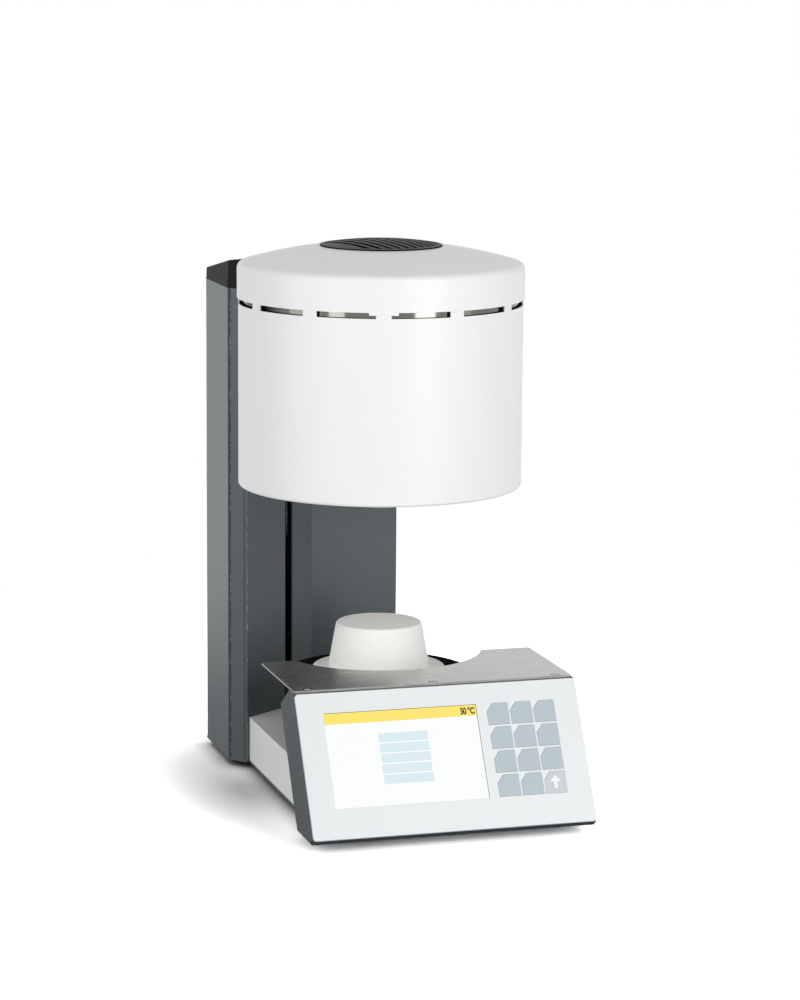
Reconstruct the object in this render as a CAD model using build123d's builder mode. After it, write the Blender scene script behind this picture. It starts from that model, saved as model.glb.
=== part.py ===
# Dental laboratory furnace: a round heating head slides up and down a sheet-metal column
# above a fibre firing plinth, with a tilted control housing in front of the table.
# The frame: +Z up, the floor at z = 0, -Y towards the operator, and the origin on the
# floor under the middle of the whole outline. All sizes are in millimetres.
from build123d import *
from math import cos, sin, tan, radians
import os

os.makedirs("parts", exist_ok=True)

# ---------------------------------------------------------------- driving dimensions
# where the axis of the heating head stands in plan
head_x = -3.1
head_y = 11.6

# general fits
fit_gap = 0.3
running_gap = 0.05
cut_margin = 1.0

# feet and base, in plan from the head axis
foot_height = 6.0
foot_radius = 11.0
foot_inset = 18.0
bottom_sheet = 2.0
base_left = 109.8
base_right = 126.5
base_height = 45.8
base_sheet = 1.5
base_corner = 6.0
cable_hole_radius = 14.0
base_vent_count = 7
base_vent_pitch = 14.0
base_vent_length = 36.0
base_vent_width = 5.0
foot_draft = 4.0

# column, in plan from the head axis; the slanted wall passes head_gap outside the lid
head_gap = 2.4
wall_angle = 35.0
wing_reach = 36.0
wing_chamfer_x = 15.5
wing_chamfer_y = 18.5
flat_wall_gap = 14.4
column_right = 65.0
column_height = 489.8
column_sheet = 2.0
column_bend = 3.0
rear_flange = 12.0
rear_sheet = 1.5
slot_offset = 30.3
slot_width = 11.8
slot_low = 70.0
slot_margin = 17.8

# plastic cap on the column
cap_rear_height = 11.5
cap_front_height = 28.5
cap_draft = 3.0
cap_wall = 2.5
cap_edge = 1.2

# heating head: hood, lid and grille
hood_radius = 141.3
hood_sheet = 1.2
hood_bottom = 310.9
hood_height = 207.6
hood_edge = 3.0
hood_lip = 7.3
vent_count = 12
vent_span = 24.0
vent_height = 5.9
lid_play = 0.1
lid_sheet = 1.2
lid_overlap = 20.0
lid_height = 54.5
lid_dome_radius = 500.0
lid_edge = 7.0
tab_span = 11.4
tab_height = 2.6
tab_angle = -105.0
grille_radius = 60.6
grille_seat = 2.0
grille_edge = 2.0
grille_crown = 5.0
grille_skirt = 8.0
rib_angle = -71.6
rib_pitch = 9.0
rib_gap = 4.2
rib_slot_count = 9
plain_reach = 23.6
cross_pitch = 14.5
cross_width = 2.4
cross_height = 2.2
grille_wall = 1.6

# heating head: inner pieces
shield_gap = 3.0
shield_sheet = 0.8
shield_drop = 11.4
wall_cut = 5.0
ring_thickness = 5.0
casing_radius = 108.0
casing_sheet = 1.0
casing_height = 156.0
chamber_radius = 53.0
muffle_wall = 3.5
muffle_height = 73.0
muffle_rib_count = 7
muffle_rib_depth = 1.2
mouth_radius = 66.0
mouth_drop = 13.0
mouth_flange_radius = 74.0
mouth_flange = 8.0
ceiling_gap = 0.5
probe_radius = 1.75
probe_reach = 14.0
probe_head_radius = 9.0
probe_head_height = 16.0
ring_screw_radius = 2.5
ring_screw_head = 4.8
ring_screw_count = 6
head_travel = 167.0
ring_screw_reach = 5.0

# firing table
drum_radius = 95.0
drum_wall = 2.0
drum_height = 58.2
drum_lip = 10.0
table_thickness = 6.0
disc_radius = 66.7
disc_proud = 6.0
disc_seat = 3.0
disc_edge = 0.6
table_edge = 1.0
foot_ring_radius = 50.5
foot_ring_height = 8.0
cone_low_radius = 49.8
cone_top_radius = 43.0
plinth_height = 46.0
plinth_edge = 3.0

# control housing and its front panel, which leans back by panel_tilt
panel_offset = 8.3
panel_width = 281.0
panel_length = 143.5
panel_tilt = 30.4
panel_thickness = 3.0
panel_corner = 3.0
panel_top_y = -170.0
panel_top_z = 140.6
housing_sheet = 1.5
housing_depth = 57.0
housing_top_run = 17.6
housing_shoulder_z = 119.4
housing_bottom_z = 10.5
housing_toe_run = 14.2
housing_toe_z = 17.5
display_width = 152.4
display_height = 94.0
display_offset = -39.4
display_rise = 4.45
display_recess = 1.6
display_border = 4.0
display_depth = 9.0
key_rows = 4
key_columns = 3
key_width = 21.4
key_height = 21.5
key_space_x = 2.1
key_space_y = 2.35
key_field_gap = 44.4
key_grid_rise = 4.8
key_clip_x = 6.5
key_clip_y = 8.3
key_proud = 0.3
key_gap = 0.2
key_flange = 0.8
key_flange_width = 0.7
key_rest_gap = 0.1
key_travel = 0.5
stud_radius = 3.5
stud_height = 2.0
board_sheet = 1.6
boss_radius = 2.5
board_margin = 7.0

# stainless cover plate
plate_thickness = 1.8
plate_side_gap = 0.9
plate_setback = 6.5
plate_length = 128.0
plate_hole_radius = 103.0
plate_corner = 2.0
plate_screw_margin = 14.6
plate_screw_inset = 4.6
plate_screw_radius = 1.9
plate_screw_head = 3.4
plate_screw_length = 8.0
screw_play = 0.1
hex_key = 2.0
hex_depth = 1.0

# lift, square to the slanted wall: places along it, and depths behind its outer face
spine_depth = 58.0
spine_sheet = 3.0
spine_left = -4.0
spine_margin = 3.0
spine_clearance = 2.8
spine_foot = 16.0
window_length = 30.0
window_width = 10.0
window_pitch = 80.0
window_count = 4
rail_width = 15.0
rail_depth = 10.0
rail_groove = 1.5
rail_over = 40.0
carriage_width = 34.0
carriage_height = 70.0
carriage_front = 30.0
carriage_clearance = 27.0
arm_thickness = 8.0
arm_height = 62.0
arm_foot_width = 30.0
arm_foot_sheet = 5.0
screw_clearance = 0.7
screw_depth = 34.0
lead_screw_radius = 6.0
journal_radius = 4.0
ear_height = 14.0
ear_margin = 5.0
nut_radius = 10.0
nut_flange_radius = 14.0
nut_flange = 4.0
bearing_width = 26.0
bearing_height = 12.0
motor_size = 42.0
motor_height = 60.0
motor_corner = 4.0
motor_lift = 12.0
motor_boss_radius = 11.0
shaft_radius = 2.5
shaft_length = 19.0
bracket_sheet = 4.0
coupling_radius = 9.5
coupling_height = 23.0
coupling_gap = 4.0
coupling_clearance = 1.0
coupling_slit = 1.0

# rear cover and what it carries
cover_margin = 2.0
cover_corner = 3.0
cover_screw_chamfer = 0.4
cover_screw_radius = 1.5
cover_screw_head = 2.8
cover_screw_proud = 1.2
cover_screw_shift = 1.0
fan_size = 60.0
fan_thickness = 15.0
fan_corner = 4.0
fan_hole_inset = 5.0
fan_hole_radius = 2.2
fan_pin_length = 6.6
fan_pin_play = 1.1
fan_rim = 2.0
fan_hub_radius = 11.0
fan_pin_radius = 1.5
fan_blade_count = 7
fan_blade_sheet = 1.2
fan_blade_pitch = 38.0
fan_blade_gap = 1.0
fan_strut = 4.0
fan_strut_depth = 3.0
fan_strut_root = 2.0
fan_offset = 22.0
fan_drop = 57.8
inlet_width = 48.0
inlet_height = 27.0
inlet_flange = 2.0
inlet_flange_margin = 3.0
inlet_corner = 2.0
inlet_depth = 26.0
inlet_offset = 40.0
inlet_level = 58.0
socket_width = 24.4
socket_height = 16.8
socket_depth = 19.0
socket_clip = 5.0
pin_length = 12.0
pin_width = 2.0
pin_height = 4.0
pin_spread = 7.0
pin_drop = 2.0
drawer_width = 15.6
drawer_proud = 1.0
switch_width = 19.0
switch_height = 27.0
switch_margin = 2.0
switch_flange = 2.0
switch_depth = 20.0
switch_offset = 40.0
switch_level = 100.0
rocker_width = 13.0
rocker_height = 20.0
rocker_depth = 7.0
rocker_pin_radius = 1.5
rocker_tilt = 7.0
rocker_way = 0.8
vent_slot_length = 34.0
vent_slot_width = 4.0
vent_slot_pitch = 9.0
fan_vent_length = 42.0
fan_vent_pitch = 7.0
rear_vent_rows = 7
rear_vent_level = 250.0

# electrics in the base
transformer_width = 60.0
transformer_length = 70.0
transformer_height = 34.0
transformer_corner = 3.0
winding_reach = 6.0
transformer_clearance = 104.0
board_width = 70.0
board_length = 110.0
board_post = 6.0
board_post_radius = 3.0

# ---------------------------------------------------------------- derived places
base_floor_z = foot_height + bottom_sheet
base_top_z = base_floor_z + base_height
column_top_z = base_floor_z + column_height
lid_radius = hood_radius + lid_play + lid_sheet
centre_x = head_x + panel_offset
right_x = head_x + column_right
flat_y = head_y + lid_radius + flat_wall_gap

# unit directions along the slanted wall and out of it, towards the head
along = Vector(cos(radians(wall_angle)), sin(radians(wall_angle)), 0)
out = Vector(sin(radians(wall_angle)), -cos(radians(wall_angle)), 0)
wall_distance = lid_radius + head_gap
wall_foot = Vector(head_x, head_y, 0) - out * wall_distance
wing_tip = wall_foot - along * wing_reach
crease = wall_foot + along * ((flat_y - wall_foot.Y) / along.Y)
left_x = wing_tip.X - wing_chamfer_x
side_y = wing_tip.Y + wing_chamfer_y

# along the wall: the lead screw runs beside the carriage, and the spine reaches past its bearings;
# the column is just deep enough for the spine's far corner
screw_offset = slot_offset + carriage_width / 2 + nut_radius + screw_clearance
spine_right = screw_offset + bearing_width / 2 + spine_margin
spine_corner = wall_foot + along * spine_right - out * (spine_depth + spine_sheet)
rear_y = spine_corner.Y + spine_clearance
column_outline = [
    (left_x, rear_y),
    (left_x, side_y),
    (wing_tip.X, wing_tip.Y),
    (crease.X, crease.Y),
    (right_x, flat_y),
    (right_x, rear_y),
]
column_middle_x = (left_x + right_x) / 2
column_width = right_x - left_x
slot_high = column_top_z - slot_margin
fan_level = column_top_z - fan_drop

# the panel's slope: up it, and out of its face
slope = radians(panel_tilt)
slope_up = Vector(0, sin(slope), cos(slope))
panel_normal = Vector(0, -cos(slope), sin(slope))
panel_middle = Vector(centre_x, head_y + panel_top_y, panel_top_z) - slope_up * (panel_length / 2)


def slope_y(z, depth):
    """Where, at height z, the plane lies that is depth behind the panel's face."""
    return head_y + panel_top_y + (z - panel_top_z) * tan(slope) + depth / cos(slope)


plate_bottom_z = panel_top_z
plate_top_z = plate_bottom_z + plate_thickness
plate_width = panel_width - 2 * plate_side_gap
plate_front_y = head_y + panel_top_y + plate_setback
plate_screw_spread = plate_width / 2 - plate_screw_margin
housing_front_y = slope_y(plate_bottom_z, panel_thickness)
housing_profile = [
    (housing_front_y, plate_bottom_z),
    (housing_front_y + housing_top_run, plate_bottom_z),
    (slope_y(housing_shoulder_z, housing_depth), housing_shoulder_z),
    (slope_y(housing_bottom_z, housing_depth), housing_bottom_z),
    (slope_y(housing_toe_z, panel_thickness) + housing_toe_run, housing_bottom_z),
    (slope_y(housing_toe_z, panel_thickness), housing_toe_z),
]

base_left_x = head_x - base_left
base_right_x = head_x + base_right
base_front_y = slope_y(base_floor_z, housing_depth)
base_left_rear_y = wall_foot.Y + along.Y * (base_left_x - wall_foot.X) / along.X
base_outline = [
    (base_left_x, base_left_rear_y),
    (base_left_x, base_front_y),
    (base_right_x, base_front_y),
    (base_right_x, flat_y),
    (crease.X, flat_y),
]
foot_places = [
    (base_left_x + foot_inset, base_front_y + foot_inset),
    (base_right_x - foot_inset, base_front_y + foot_inset),
    (base_right_x - foot_inset, flat_y - foot_inset),
    (left_x + foot_inset, rear_y - foot_inset),
    (right_x - foot_inset, rear_y - foot_inset),
]

# the lift, from the bottom sheet up
motor_low = base_floor_z + motor_lift
motor_top = motor_low + motor_height
coupling_low = motor_top + bracket_sheet + coupling_gap
coupling_top = coupling_low + coupling_height
rail_low = coupling_top + coupling_clearance
carriage_low = rail_low + bearing_height + head_travel + carriage_clearance
rail_high = carriage_low + carriage_height + bearing_height + rail_over

# the heating head, from its lower rim up
hood_top = hood_bottom + hood_height
lid_low = hood_top - lid_overlap
lid_top = lid_low + lid_height
vent_low = lid_low - vent_height
ring_radius = hood_radius - hood_edge - fit_gap
ring_screw_place = (casing_radius + ring_radius) / 2
shield_radius = hood_radius - hood_sheet - shield_gap
ring_low = hood_bottom + hood_sheet
ring_top = ring_low + ring_thickness
mouth_low = hood_bottom - mouth_drop
mouth_top = ring_top + mouth_flange
chamber_top = mouth_top + muffle_height + ceiling_gap
casing_top = ring_top + casing_height

# the firing table, from the base up
table_low = base_top_z + drum_height
table_top = table_low + table_thickness
disc_top = table_top + disc_proud
plinth_top = disc_top + plinth_height

# the key field, to the right of the display
key_pitch_x = key_width + key_space_x
key_pitch_y = key_height + key_space_y
key_grid_offset = display_offset + display_width / 2 + key_field_gap


def level(z):
    """A level plane at height z, centred on the axis of the heating head."""
    return Plane(origin=(head_x, head_y, z), x_dir=(1, 0, 0), z_dir=(0, 0, 1))


def panel_plane(depth):
    """A plane parallel to the front panel, depth behind its face."""
    return Plane(origin=panel_middle - panel_normal * depth, x_dir=(1, 0, 0), z_dir=panel_normal)


def lift_plane(u, depth, z):
    """A level plane: x along the slanted wall from u, y out of it, depth behind its face."""
    origin = wall_foot + along * u - out * depth + Vector(0, 0, z)
    return Plane(origin=origin, x_dir=along, z_dir=(0, 0, 1))


def rear_plane(x, y, z):
    """An upright plane at depth y that looks out of the rear, its local x running to -X."""
    return Plane(origin=(x, y, z), x_dir=(-1, 0, 0), z_dir=(0, 1, 0))


head_line = Axis((head_x, head_y, 0), (0, 0, 1))
head_profile = Plane(origin=(head_x, head_y, 0), x_dir=(1, 0, 0), z_dir=(0, -1, 0))


def turn(points, mode=Mode.ADD):
    """Revolve a closed profile of (radius, height) points about the head axis."""
    with BuildSketch(head_profile) as profile:
        with BuildLine():
            Polyline(*points, close=True)
        make_face()
    revolve(profile.sketch, axis=head_line, mode=mode)


def block(plane, width, length, height, mode=Mode.ADD):
    """A block that stands on a plane, centred on its origin."""
    with BuildSketch(plane) as foot:
        Rectangle(width, length)
    extrude(foot.sketch, amount=height, mode=mode)


def rod(plane, radius, height, mode=Mode.ADD):
    """A round rod or hole that starts on a plane, centred on its origin."""
    with BuildSketch(plane) as foot:
        Circle(radius)
    extrude(foot.sketch, amount=height, mode=mode)


def save(piece, name):
    """Label a finished piece and write it as one STEP file."""
    piece.part.label = name
    export_step(piece.part, f"parts/{name}.step")


# ---------------------------------------------------------------- feet and bottom sheet
with BuildPart() as rubber_feet:
    with BuildSketch():
        with Locations(*foot_places):
            Circle(foot_radius)
    extrude(amount=foot_height, taper=foot_draft)
save(rubber_feet, "rubber_feet")

with BuildPart() as base_plate:
    with BuildSketch(Plane.XY.offset(foot_height)):
        with BuildLine():
            Polyline(*base_outline, close=True)
        make_face()
        with BuildLine():
            Polyline(*column_outline, close=True)
        make_face()
        with Locations((head_x, head_y)):
            with GridLocations(base_vent_pitch, 1, base_vent_count, 1):
                SlotOverall(base_vent_length, base_vent_width, rotation=90, mode=Mode.SUBTRACT)
    extrude(amount=bottom_sheet)
save(base_plate, "base_plate")

# ---------------------------------------------------------------- base pan
with BuildPart() as base_pan:
    with BuildSketch(Plane.XY.offset(base_floor_z)):
        with BuildLine():
            Polyline(*base_outline, close=True)
        make_face()
        offset(amount=-fit_gap, kind=Kind.INTERSECTION)
    extrude(amount=base_height)
    # the front wall leans back with the housing that is screwed to it
    wall_low_y = slope_y(base_floor_z - base_height, housing_depth) + fit_gap
    wall_high_y = slope_y(base_top_z + base_height, housing_depth) + fit_gap
    with BuildSketch(Plane.YZ.offset(base_left_x)):
        with BuildLine():
            Polyline(
                (base_front_y - base_height, base_floor_z - base_height),
                (wall_low_y, base_floor_z - base_height),
                (wall_high_y, base_top_z + base_height),
                (base_front_y - base_height, base_top_z + base_height),
                close=True,
            )
        make_face()
    extrude(amount=base_left + base_right, mode=Mode.SUBTRACT)
    uprights = base_pan.edges().filter_by(Axis.Z)
    fillet(uprights.group_by(Axis.X)[-1], base_corner)
    offset(amount=-base_sheet, openings=base_pan.faces().sort_by(Axis.Z)[0])
    # cables rise into the drum and pass into the column
    rod(level(base_top_z - 2 * base_sheet), cable_hole_radius, 3 * base_sheet, Mode.SUBTRACT)
save(base_pan, "base_pan")

# ---------------------------------------------------------------- column
with BuildPart() as column_shell:
    with BuildSketch(Plane.XY.offset(base_floor_z)):
        with BuildLine():
            Polyline(*column_outline, close=True)
        make_face()
        fillet(vertices(), column_bend)
        offset(amount=-column_sheet, mode=Mode.SUBTRACT)
        with Locations((column_middle_x, rear_y)):
            Rectangle(column_width - 2 * rear_flange, 4 * column_sheet, mode=Mode.SUBTRACT)
    extrude(amount=column_height)
    # the tall slot that the lift arm runs in
    slot_origin = wall_foot + along * slot_offset + Vector(0, 0, (slot_low + slot_high) / 2)
    with BuildSketch(Plane(origin=slot_origin + out, x_dir=along, z_dir=out)):
        RectangleRounded(slot_width, slot_high - slot_low, slot_width / 3)
    extrude(amount=-2 * column_sheet, mode=Mode.SUBTRACT)
    # cable way from the base into the column
    with BuildSketch(Plane.XZ.offset(-flat_y + cut_margin)):
        with Locations((head_x + column_right / 4, (base_floor_z + base_top_z) / 2)):
            SlotOverall(2 * cable_hole_radius, cable_hole_radius)
    extrude(amount=-2 * column_sheet, mode=Mode.SUBTRACT)
save(column_shell, "column_shell")

# the cap's top slopes up from the rear to the front
cap_run = rear_y - side_y
cap_fall = (cap_front_height - cap_rear_height) / cap_run


def cap_top_z(y, inset):
    """Height of the cap's sloping top at depth y, lowered by inset."""
    return column_top_z + cap_rear_height - inset + cap_fall * (rear_y - y)


def cap_solid(inset):
    """The cap's outer form, or its core when inset is the wall."""
    with BuildPart() as body:
        with BuildSketch(Plane.XY.offset(column_top_z)):
            with BuildLine():
                Polyline(*column_outline, close=True)
            make_face()
            if inset > 0:
                offset(amount=-inset, kind=Kind.INTERSECTION)
            fillet(vertices(), column_bend)
        extrude(amount=2 * cap_front_height, taper=cap_draft)
        with BuildSketch(Plane.YZ.offset(left_x)):
            cap_far = rear_y - 2 * cap_run
            cap_sky = column_top_z + 4 * cap_front_height
            with BuildLine():
                Polyline(
                    (rear_y + cap_wall, cap_top_z(rear_y + cap_wall, inset)),
                    (cap_far, cap_top_z(cap_far, inset)),
                    (cap_far, cap_sky),
                    (rear_y + cap_wall, cap_sky),
                    close=True,
                )
            make_face()
        extrude(amount=column_width, mode=Mode.SUBTRACT)
    return body.part


cap_core = cap_solid(cap_wall)
cap_body = cap_solid(0)
with BuildPart() as column_cap:
    add(cap_body)
    fillet(column_cap.faces().sort_by(Axis.Z)[-1].edges(), cap_edge)
    add(cap_core, mode=Mode.SUBTRACT)
save(column_cap, "column_cap")

# ---------------------------------------------------------------- lift
spine_middle = (spine_left + spine_right) / 2
spine_width = spine_right - spine_left
spine_height = slot_high - base_floor_z
with BuildPart() as lift_spine:
    block(
        lift_plane(spine_middle, spine_depth + spine_sheet / 2, base_floor_z),
        spine_width,
        spine_sheet,
        spine_height,
    )
    block(
        lift_plane(spine_middle, spine_depth - spine_foot / 2, base_floor_z),
        spine_width,
        spine_foot,
        spine_sheet,
    )
    # lightening windows beside the rail
    window_origin = lift_plane(spine_left + spine_foot, spine_depth - cut_margin, base_floor_z).origin
    with BuildSketch(Plane(origin=window_origin, x_dir=along, z_dir=out)):
        with Locations((0, spine_height / 2)):
            with GridLocations(1, window_pitch, 1, window_count):
                SlotOverall(window_length, window_width, rotation=90)
    extrude(amount=-2 * spine_sheet, mode=Mode.SUBTRACT)
save(lift_spine, "lift_spine")

with BuildPart() as guide_rail:
    with BuildSketch(lift_plane(slot_offset, spine_depth - rail_depth / 2, rail_low)):
        Rectangle(rail_width, rail_depth)
        with GridLocations(rail_width, 1, 2, 1):
            Circle(rail_groove, mode=Mode.SUBTRACT)
    extrude(amount=rail_high - rail_low)
save(guide_rail, "guide_rail")

# each bearing block stands on the spine and holds one journal of the lead screw
bearing_reach = spine_depth - screw_depth + bearing_width / 2
with BuildPart() as screw_bearings:
    for bearing_z in (rail_low, rail_high - bearing_height):
        block(
            lift_plane(screw_offset, spine_depth - bearing_reach / 2, bearing_z),
            bearing_width,
            bearing_reach,
            bearing_height,
        )
        rod(
            lift_plane(screw_offset, screw_depth, bearing_z),
            journal_radius + running_gap,
            bearing_height,
            Mode.SUBTRACT,
        )
save(screw_bearings, "screw_bearings")

shaft_top = motor_top + bracket_sheet + shaft_length
with BuildPart() as lift_motor:
    with BuildSketch(lift_plane(screw_offset, screw_depth, motor_low)):
        RectangleRounded(motor_size, motor_size, motor_corner)
    extrude(amount=motor_height)
    rod(lift_plane(screw_offset, screw_depth, motor_top), motor_boss_radius, bracket_sheet / 2)
    rod(
        lift_plane(screw_offset, screw_depth, motor_low + motor_height / 4),
        shaft_radius + running_gap,
        motor_height + bracket_sheet,
        Mode.SUBTRACT,
    )
save(lift_motor, "lift_motor")

bracket_front = screw_depth - motor_size / 2
bracket_length = spine_depth - bracket_front
with BuildPart() as motor_bracket:
    with BuildSketch(lift_plane(screw_offset, spine_depth - bracket_length / 2, motor_top)):
        Rectangle(motor_size, bracket_length)
    extrude(amount=bracket_sheet)
    rod(
        lift_plane(screw_offset, screw_depth, motor_top),
        motor_boss_radius + fit_gap,
        bracket_sheet,
        Mode.SUBTRACT,
    )
    # the bracket's upright flange on the spine
    block(
        lift_plane(screw_offset, spine_depth - bracket_sheet / 2, motor_top + bracket_sheet),
        motor_size / 2,
        bracket_sheet,
        bracket_sheet * 3,
    )
save(motor_bracket, "motor_bracket")

with BuildPart() as motor_shaft:
    rod(
        lift_plane(screw_offset, screw_depth, motor_low + motor_height / 4),
        shaft_radius,
        shaft_top - motor_low - motor_height / 4,
    )
save(motor_shaft, "motor_shaft")

with BuildPart() as shaft_coupling:
    rod(lift_plane(screw_offset, screw_depth, coupling_low), coupling_radius, coupling_height)
    rod(
        lift_plane(screw_offset, screw_depth, coupling_low),
        shaft_radius + running_gap,
        shaft_top - coupling_low,
        Mode.SUBTRACT,
    )
    rod(
        lift_plane(screw_offset, screw_depth, shaft_top),
        journal_radius + running_gap,
        coupling_top - shaft_top,
        Mode.SUBTRACT,
    )
    # the clamp slit on each half
    with BuildSketch(lift_plane(screw_offset, screw_depth + coupling_radius / 2, coupling_low)):
        Rectangle(coupling_slit, coupling_radius)
    extrude(amount=coupling_height, mode=Mode.SUBTRACT)
save(shaft_coupling, "shaft_coupling")

screw_low = rail_low + bearing_height + fit_gap
screw_high = rail_high - bearing_height - fit_gap
with BuildPart() as lead_screw:
    rod(lift_plane(screw_offset, screw_depth, screw_low), lead_screw_radius, screw_high - screw_low)
    rod(lift_plane(screw_offset, screw_depth, shaft_top), journal_radius, rail_high - shaft_top)
save(lead_screw, "lead_screw")

# ---------------------------------------------------------------- carriage, nut and arm
carriage_back = spine_depth - fit_gap
ear_width = nut_radius + ear_margin
with BuildPart() as carriage:
    carriage_length = carriage_back - carriage_front
    block(
        lift_plane(slot_offset, carriage_front + carriage_length / 2, carriage_low),
        carriage_width,
        carriage_length,
        carriage_height,
    )
    block(
        lift_plane(slot_offset, spine_depth - rail_depth / 2, carriage_low),
        rail_width + 2 * fit_gap,
        rail_depth + 2 * fit_gap,
        carriage_height,
        Mode.SUBTRACT,
    )
    # the ear that holds the nut of the lead screw
    ear_start = slot_offset + carriage_width / 2
    ear_end = screw_offset + ear_width
    block(
        lift_plane((ear_start + ear_end) / 2, screw_depth, carriage_low),
        ear_end - ear_start,
        2 * ear_width,
        ear_height,
    )
    block(
        lift_plane(ear_start - ear_margin, screw_depth, carriage_low),
        2 * ear_margin,
        2 * (screw_depth - carriage_front),
        ear_height,
    )
    rod(
        lift_plane(screw_offset, screw_depth, carriage_low),
        nut_radius + running_gap,
        ear_height,
        Mode.SUBTRACT,
    )
save(carriage, "carriage")

with BuildPart() as screw_nut:
    rod(lift_plane(screw_offset, screw_depth, carriage_low), nut_radius, ear_height + nut_flange)
    rod(lift_plane(screw_offset, screw_depth, carriage_low - nut_flange), nut_flange_radius, nut_flange)
    rod(
        lift_plane(screw_offset, screw_depth, carriage_low - nut_flange),
        lead_screw_radius + running_gap,
        ear_height + 2 * nut_flange,
        Mode.SUBTRACT,
    )
save(screw_nut, "screw_nut")


def wall_reach(radius, offset_along):
    """How far out of the slanted wall a circle about the head axis starts, offset_along it."""
    return wall_distance - (radius**2 - offset_along**2) ** 0.5


# the arm runs square to the wall, so it meets the round casing beside the head's axis
arm_reach = wall_reach(casing_radius, slot_offset - arm_thickness / 2) - fit_gap
foot_start = wall_reach(hood_radius - hood_sheet - fit_gap, slot_offset + arm_foot_width / 2)
foot_end = wall_reach(casing_radius, slot_offset - arm_foot_width / 2) - fit_gap
with BuildPart() as lift_arm:
    block(
        lift_plane(slot_offset, (carriage_front - arm_reach) / 2, ring_top),
        arm_thickness,
        carriage_front + arm_reach,
        arm_height,
    )
    block(
        lift_plane(slot_offset, -(foot_start + foot_end) / 2, ring_top),
        arm_foot_width,
        foot_end - foot_start,
        arm_foot_sheet,
    )
save(lift_arm, "lift_arm")

# ---------------------------------------------------------------- heating head
arm_way_half = arm_thickness / 2 + fit_gap
half_span = radians(vent_span / 2)
with BuildSketch() as vent_wedge:
    with BuildLine():
        Polyline(
            (0, 0),
            (2 * hood_radius * cos(half_span), -2 * hood_radius * sin(half_span)),
            (2 * hood_radius * cos(half_span), 2 * hood_radius * sin(half_span)),
            close=True,
        )
    make_face()

with BuildPart() as hood_shell:
    inner_radius = hood_radius - hood_sheet
    with BuildSketch(head_profile) as hood_profile:
        with BuildLine():
            outer_rim = FilletPolyline(
                (hood_radius - hood_lip, hood_bottom),
                (hood_radius, hood_bottom),
                (hood_radius, hood_top),
                radius=hood_edge,
            )
            inner_rim = FilletPolyline(
                (inner_radius, hood_top),
                (inner_radius, hood_bottom + hood_sheet),
                (hood_radius - hood_lip, hood_bottom + hood_sheet),
                radius=hood_edge - hood_sheet,
            )
            Line(outer_rim @ 1, inner_rim @ 0)
            Line(inner_rim @ 1, outer_rim @ 0)
        make_face()
    revolve(axis=head_line)
    # vent slots under the lid, one of them straight in front
    with BuildSketch(level(vent_low)):
        with PolarLocations(0, vent_count, start_angle=-90):
            add(vent_wedge.sketch)
    extrude(amount=vent_height, mode=Mode.SUBTRACT)
    # the way in for the lift arm
    block(
        lift_plane(slot_offset, -wall_reach(hood_radius, slot_offset), ring_top - fit_gap),
        2 * arm_way_half,
        2 * wall_cut,
        arm_height + 2 * fit_gap,
        Mode.SUBTRACT,
    )
save(hood_shell, "hood_shell")

dome_middle = lid_top - lid_dome_radius


def dome_z(radius):
    """Height of the lid's domed top at a radius from the head axis."""
    return dome_middle + (lid_dome_radius**2 - radius**2) ** 0.5


with BuildPart() as hood_lid:
    with BuildSketch(head_profile):
        with BuildLine():
            Line((0, lid_low), (lid_radius, lid_low))
            Line((lid_radius, lid_low), (lid_radius, dome_z(lid_radius)))
            ThreePointArc(
                (lid_radius, dome_z(lid_radius)),
                (lid_radius / 2, dome_z(lid_radius / 2)),
                (0, lid_top),
            )
            Line((0, lid_top), (0, lid_low))
        make_face()
        fillet(vertices().sort_by_distance((lid_radius, dome_z(lid_radius)))[0], lid_edge)
    revolve(axis=head_line)
    offset(amount=-lid_sheet, openings=hood_lid.faces().sort_by(Axis.Z)[0])
    rod(level(lid_low), grille_radius - grille_seat, lid_height + cut_margin, Mode.SUBTRACT)
    # the small tab over one bridge between two vents
    with BuildSketch(level(lid_low - tab_height)):
        with BuildLine():
            tab_start = tab_angle - tab_span / 2
            tab_out = CenterArc((0, 0), lid_radius, tab_start, tab_span)
            tab_in = CenterArc((0, 0), lid_radius - lid_sheet, tab_start, tab_span)
            Line(tab_out @ 0, tab_in @ 0)
            Line(tab_out @ 1, tab_in @ 1)
        make_face()
    extrude(amount=tab_height)
save(hood_lid, "hood_lid")

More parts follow.
